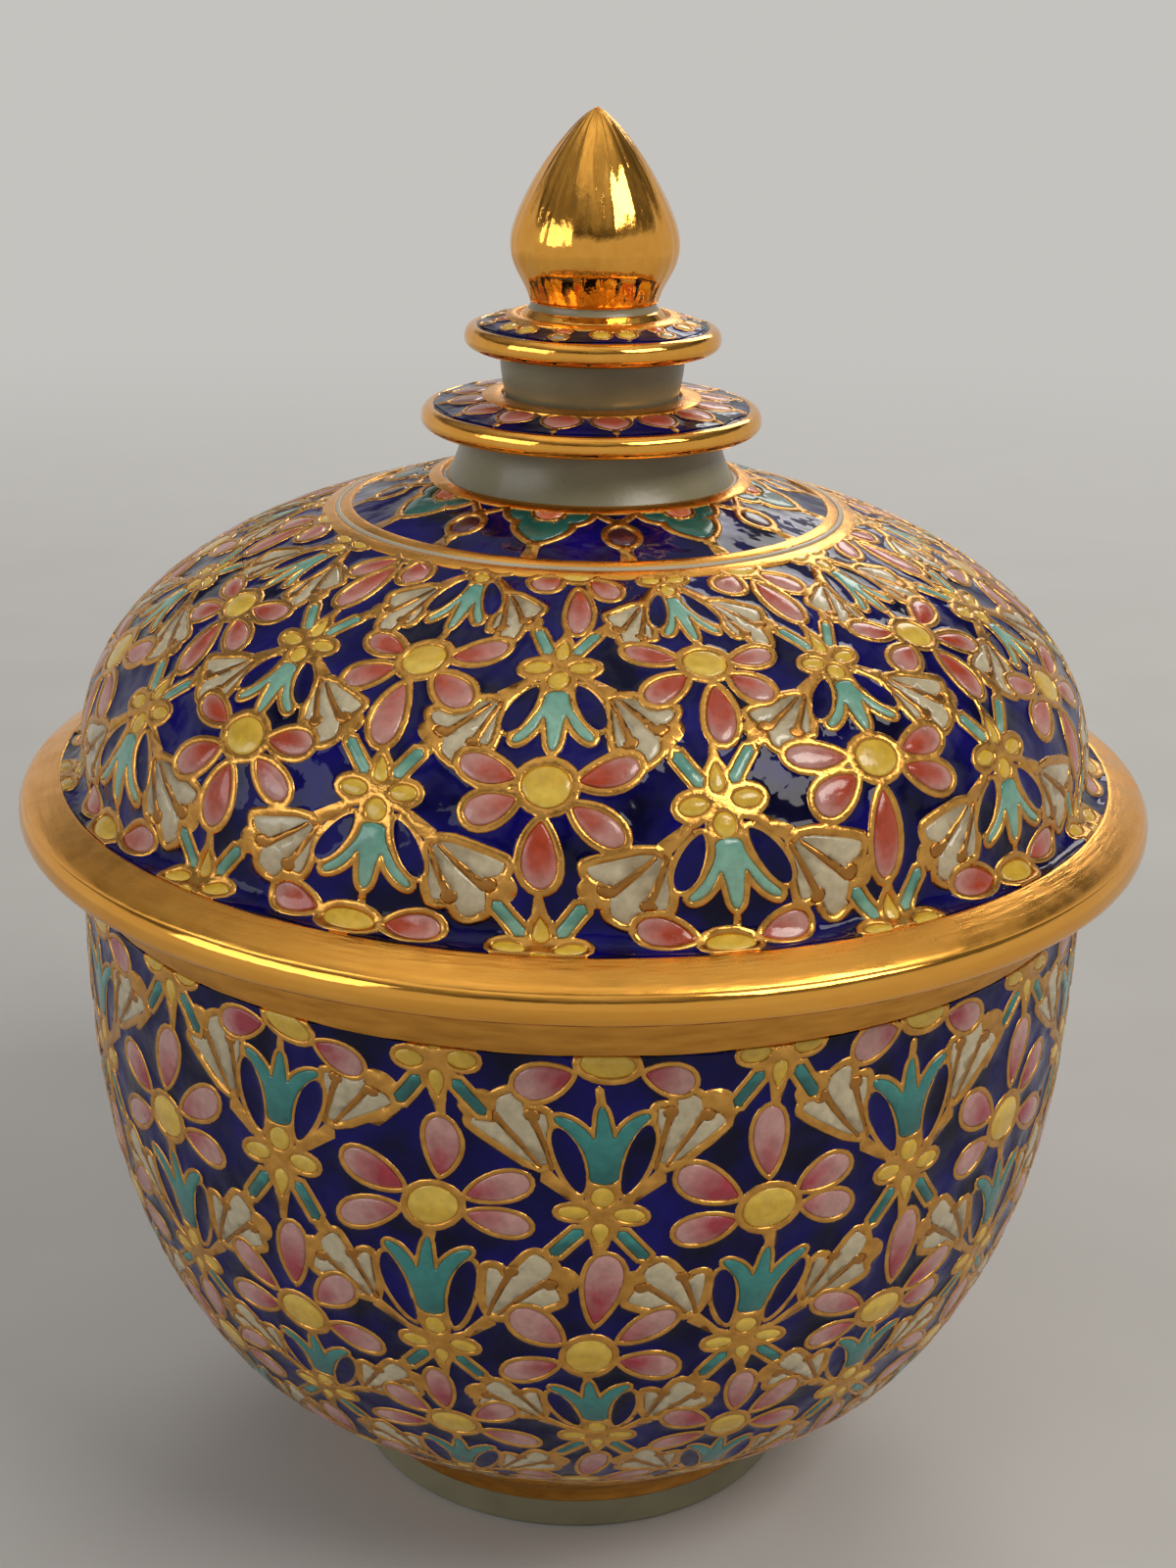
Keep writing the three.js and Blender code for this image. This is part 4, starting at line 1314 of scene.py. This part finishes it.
crown_loops = []
for i in range(-1, CROWN_REPEATS + 1):
    for draw, turn in ((lotus, 0), (crown_almond, 180 / CROWN_REPEATS)):
        degrees = CROWN_TURN + 360 / CROWN_REPEATS * i + turn
        motif = at_true_size(CROWN, -1, degrees, LOTUS_RADIUS, [5, i % CROWN_REPEATS, int(turn)])
        draw(motif)
        crown_loops += motif.loops
decorate("crown", CROWN, crown_loops, 0.9, CROWN.length - 1.1, "lid")


# %% Tops of the discs
def disc_petal(motif):
    motif.cell(teardrop((0, 1.9), (0, -1.7), 1.75, slim=0.35), "pink", (0, -1.9), (0, 2.0), line=0.4)
    motif.drawn([(0, 2.3), (0, 3.2)], [0.3, 0.3])


def yellow_pair(motif):
    for side in (-1, 1):
        motif.cell(oval((side * 1.25, 0.2), 0.9, 0.8, side * 0.3, 14), "yellow", line=0.3)
    motif.drawn([(-1.3, -0.9), (0, -1.0), (1.3, -0.9)], [0.7, 0.7, 0.7])


def orange_drop(motif):
    motif.cell(oval((0, -0.5), 0.75, 0.6, 0, 14), "orange", line=0.3)
    motif.cell(oval((0, 1.05), 0.8, 0.6, 0, 14), "cream", line=0.3)


DISC_TURN = 0.4
# How many motifs, at what radius, and which, in turns.
DISC_TOPS = {"lower": (16, 12.7, (disc_petal,)), "upper": (12, 9.6, (yellow_pair, orange_drop))}
for name, (count, radius, draws) in DISC_TOPS.items():
    loops = []
    for i in range(-1, count + 1):
        degrees = -180 + 360 / count * (i + DISC_TURN)
        motif = at_true_size(TOPS[name], -1, degrees, radius, [6, i % count, count])
        draws[i % len(draws)](motif)
        loops += motif.loops
    decorate(name + "_disc", TOPS[name], loops, 0.1, TOPS[name].length - 0.6, "lid")

# %% Under the bowl
TULIPS, TULIP_TURN, TULIP_RADIUS = 10, 0.3, 30.3
TULIP_PETALS = (((0, 1.0), (0, 5.4), 1.25), ((-1.0, 0.8), (-3.0, 4.6), 1.05), ((1.0, 0.8), (3.0, 4.6), 1.05))


def tulip(motif):
    motif.cell(oval((0, 0), 0.9, 0.8), "yellow")
    for root, tip, half_width in TULIP_PETALS:
        motif.cell(teardrop(root, tip, half_width), "rose", root, tip)
    for side in (-1, 1):
        root, tip = (side * 1.6, -0.7), (side * 7.6, 2.4)
        motif.cell(teardrop(root, tip, 1.05), "turquoise", root, tip)
    motif.drawn([(0, -0.9), (0, -2.0), (0, -3.4)], [0.6, 0.4, 0.7])
    motif.drawn([(-7.6, 2.5), (-9.0, 4.4), (-9.6, 6.2)], [0.4, 0.5, 0.4])


tulip_loops = []
for i in range(-1, TULIPS + 1):
    degrees = -180 + 360 / TULIPS * (i + TULIP_TURN)
    motif = at_true_size(BOWL_SIDE, 1, degrees, TULIP_RADIUS, [8, i % TULIPS])
    tulip(motif)
    tulip_loops += motif.loops
decorate("underside", BOWL_SIDE, tulip_loops, 1.5, inner_line - 0.8, "bowl")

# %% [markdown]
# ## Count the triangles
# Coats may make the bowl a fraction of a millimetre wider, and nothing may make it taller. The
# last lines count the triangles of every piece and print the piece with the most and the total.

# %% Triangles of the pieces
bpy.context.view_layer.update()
triangles = {}
for piece in bpy.data.objects:
    if piece.type == "MESH":
        triangles[piece.name] = sum(len(face.vertices) - 2 for face in piece.data.polygons)
largest = max(triangles, key=triangles.get)
print("Piece with the most triangles:", largest, triangles[largest], "of", sum(triangles.values()))
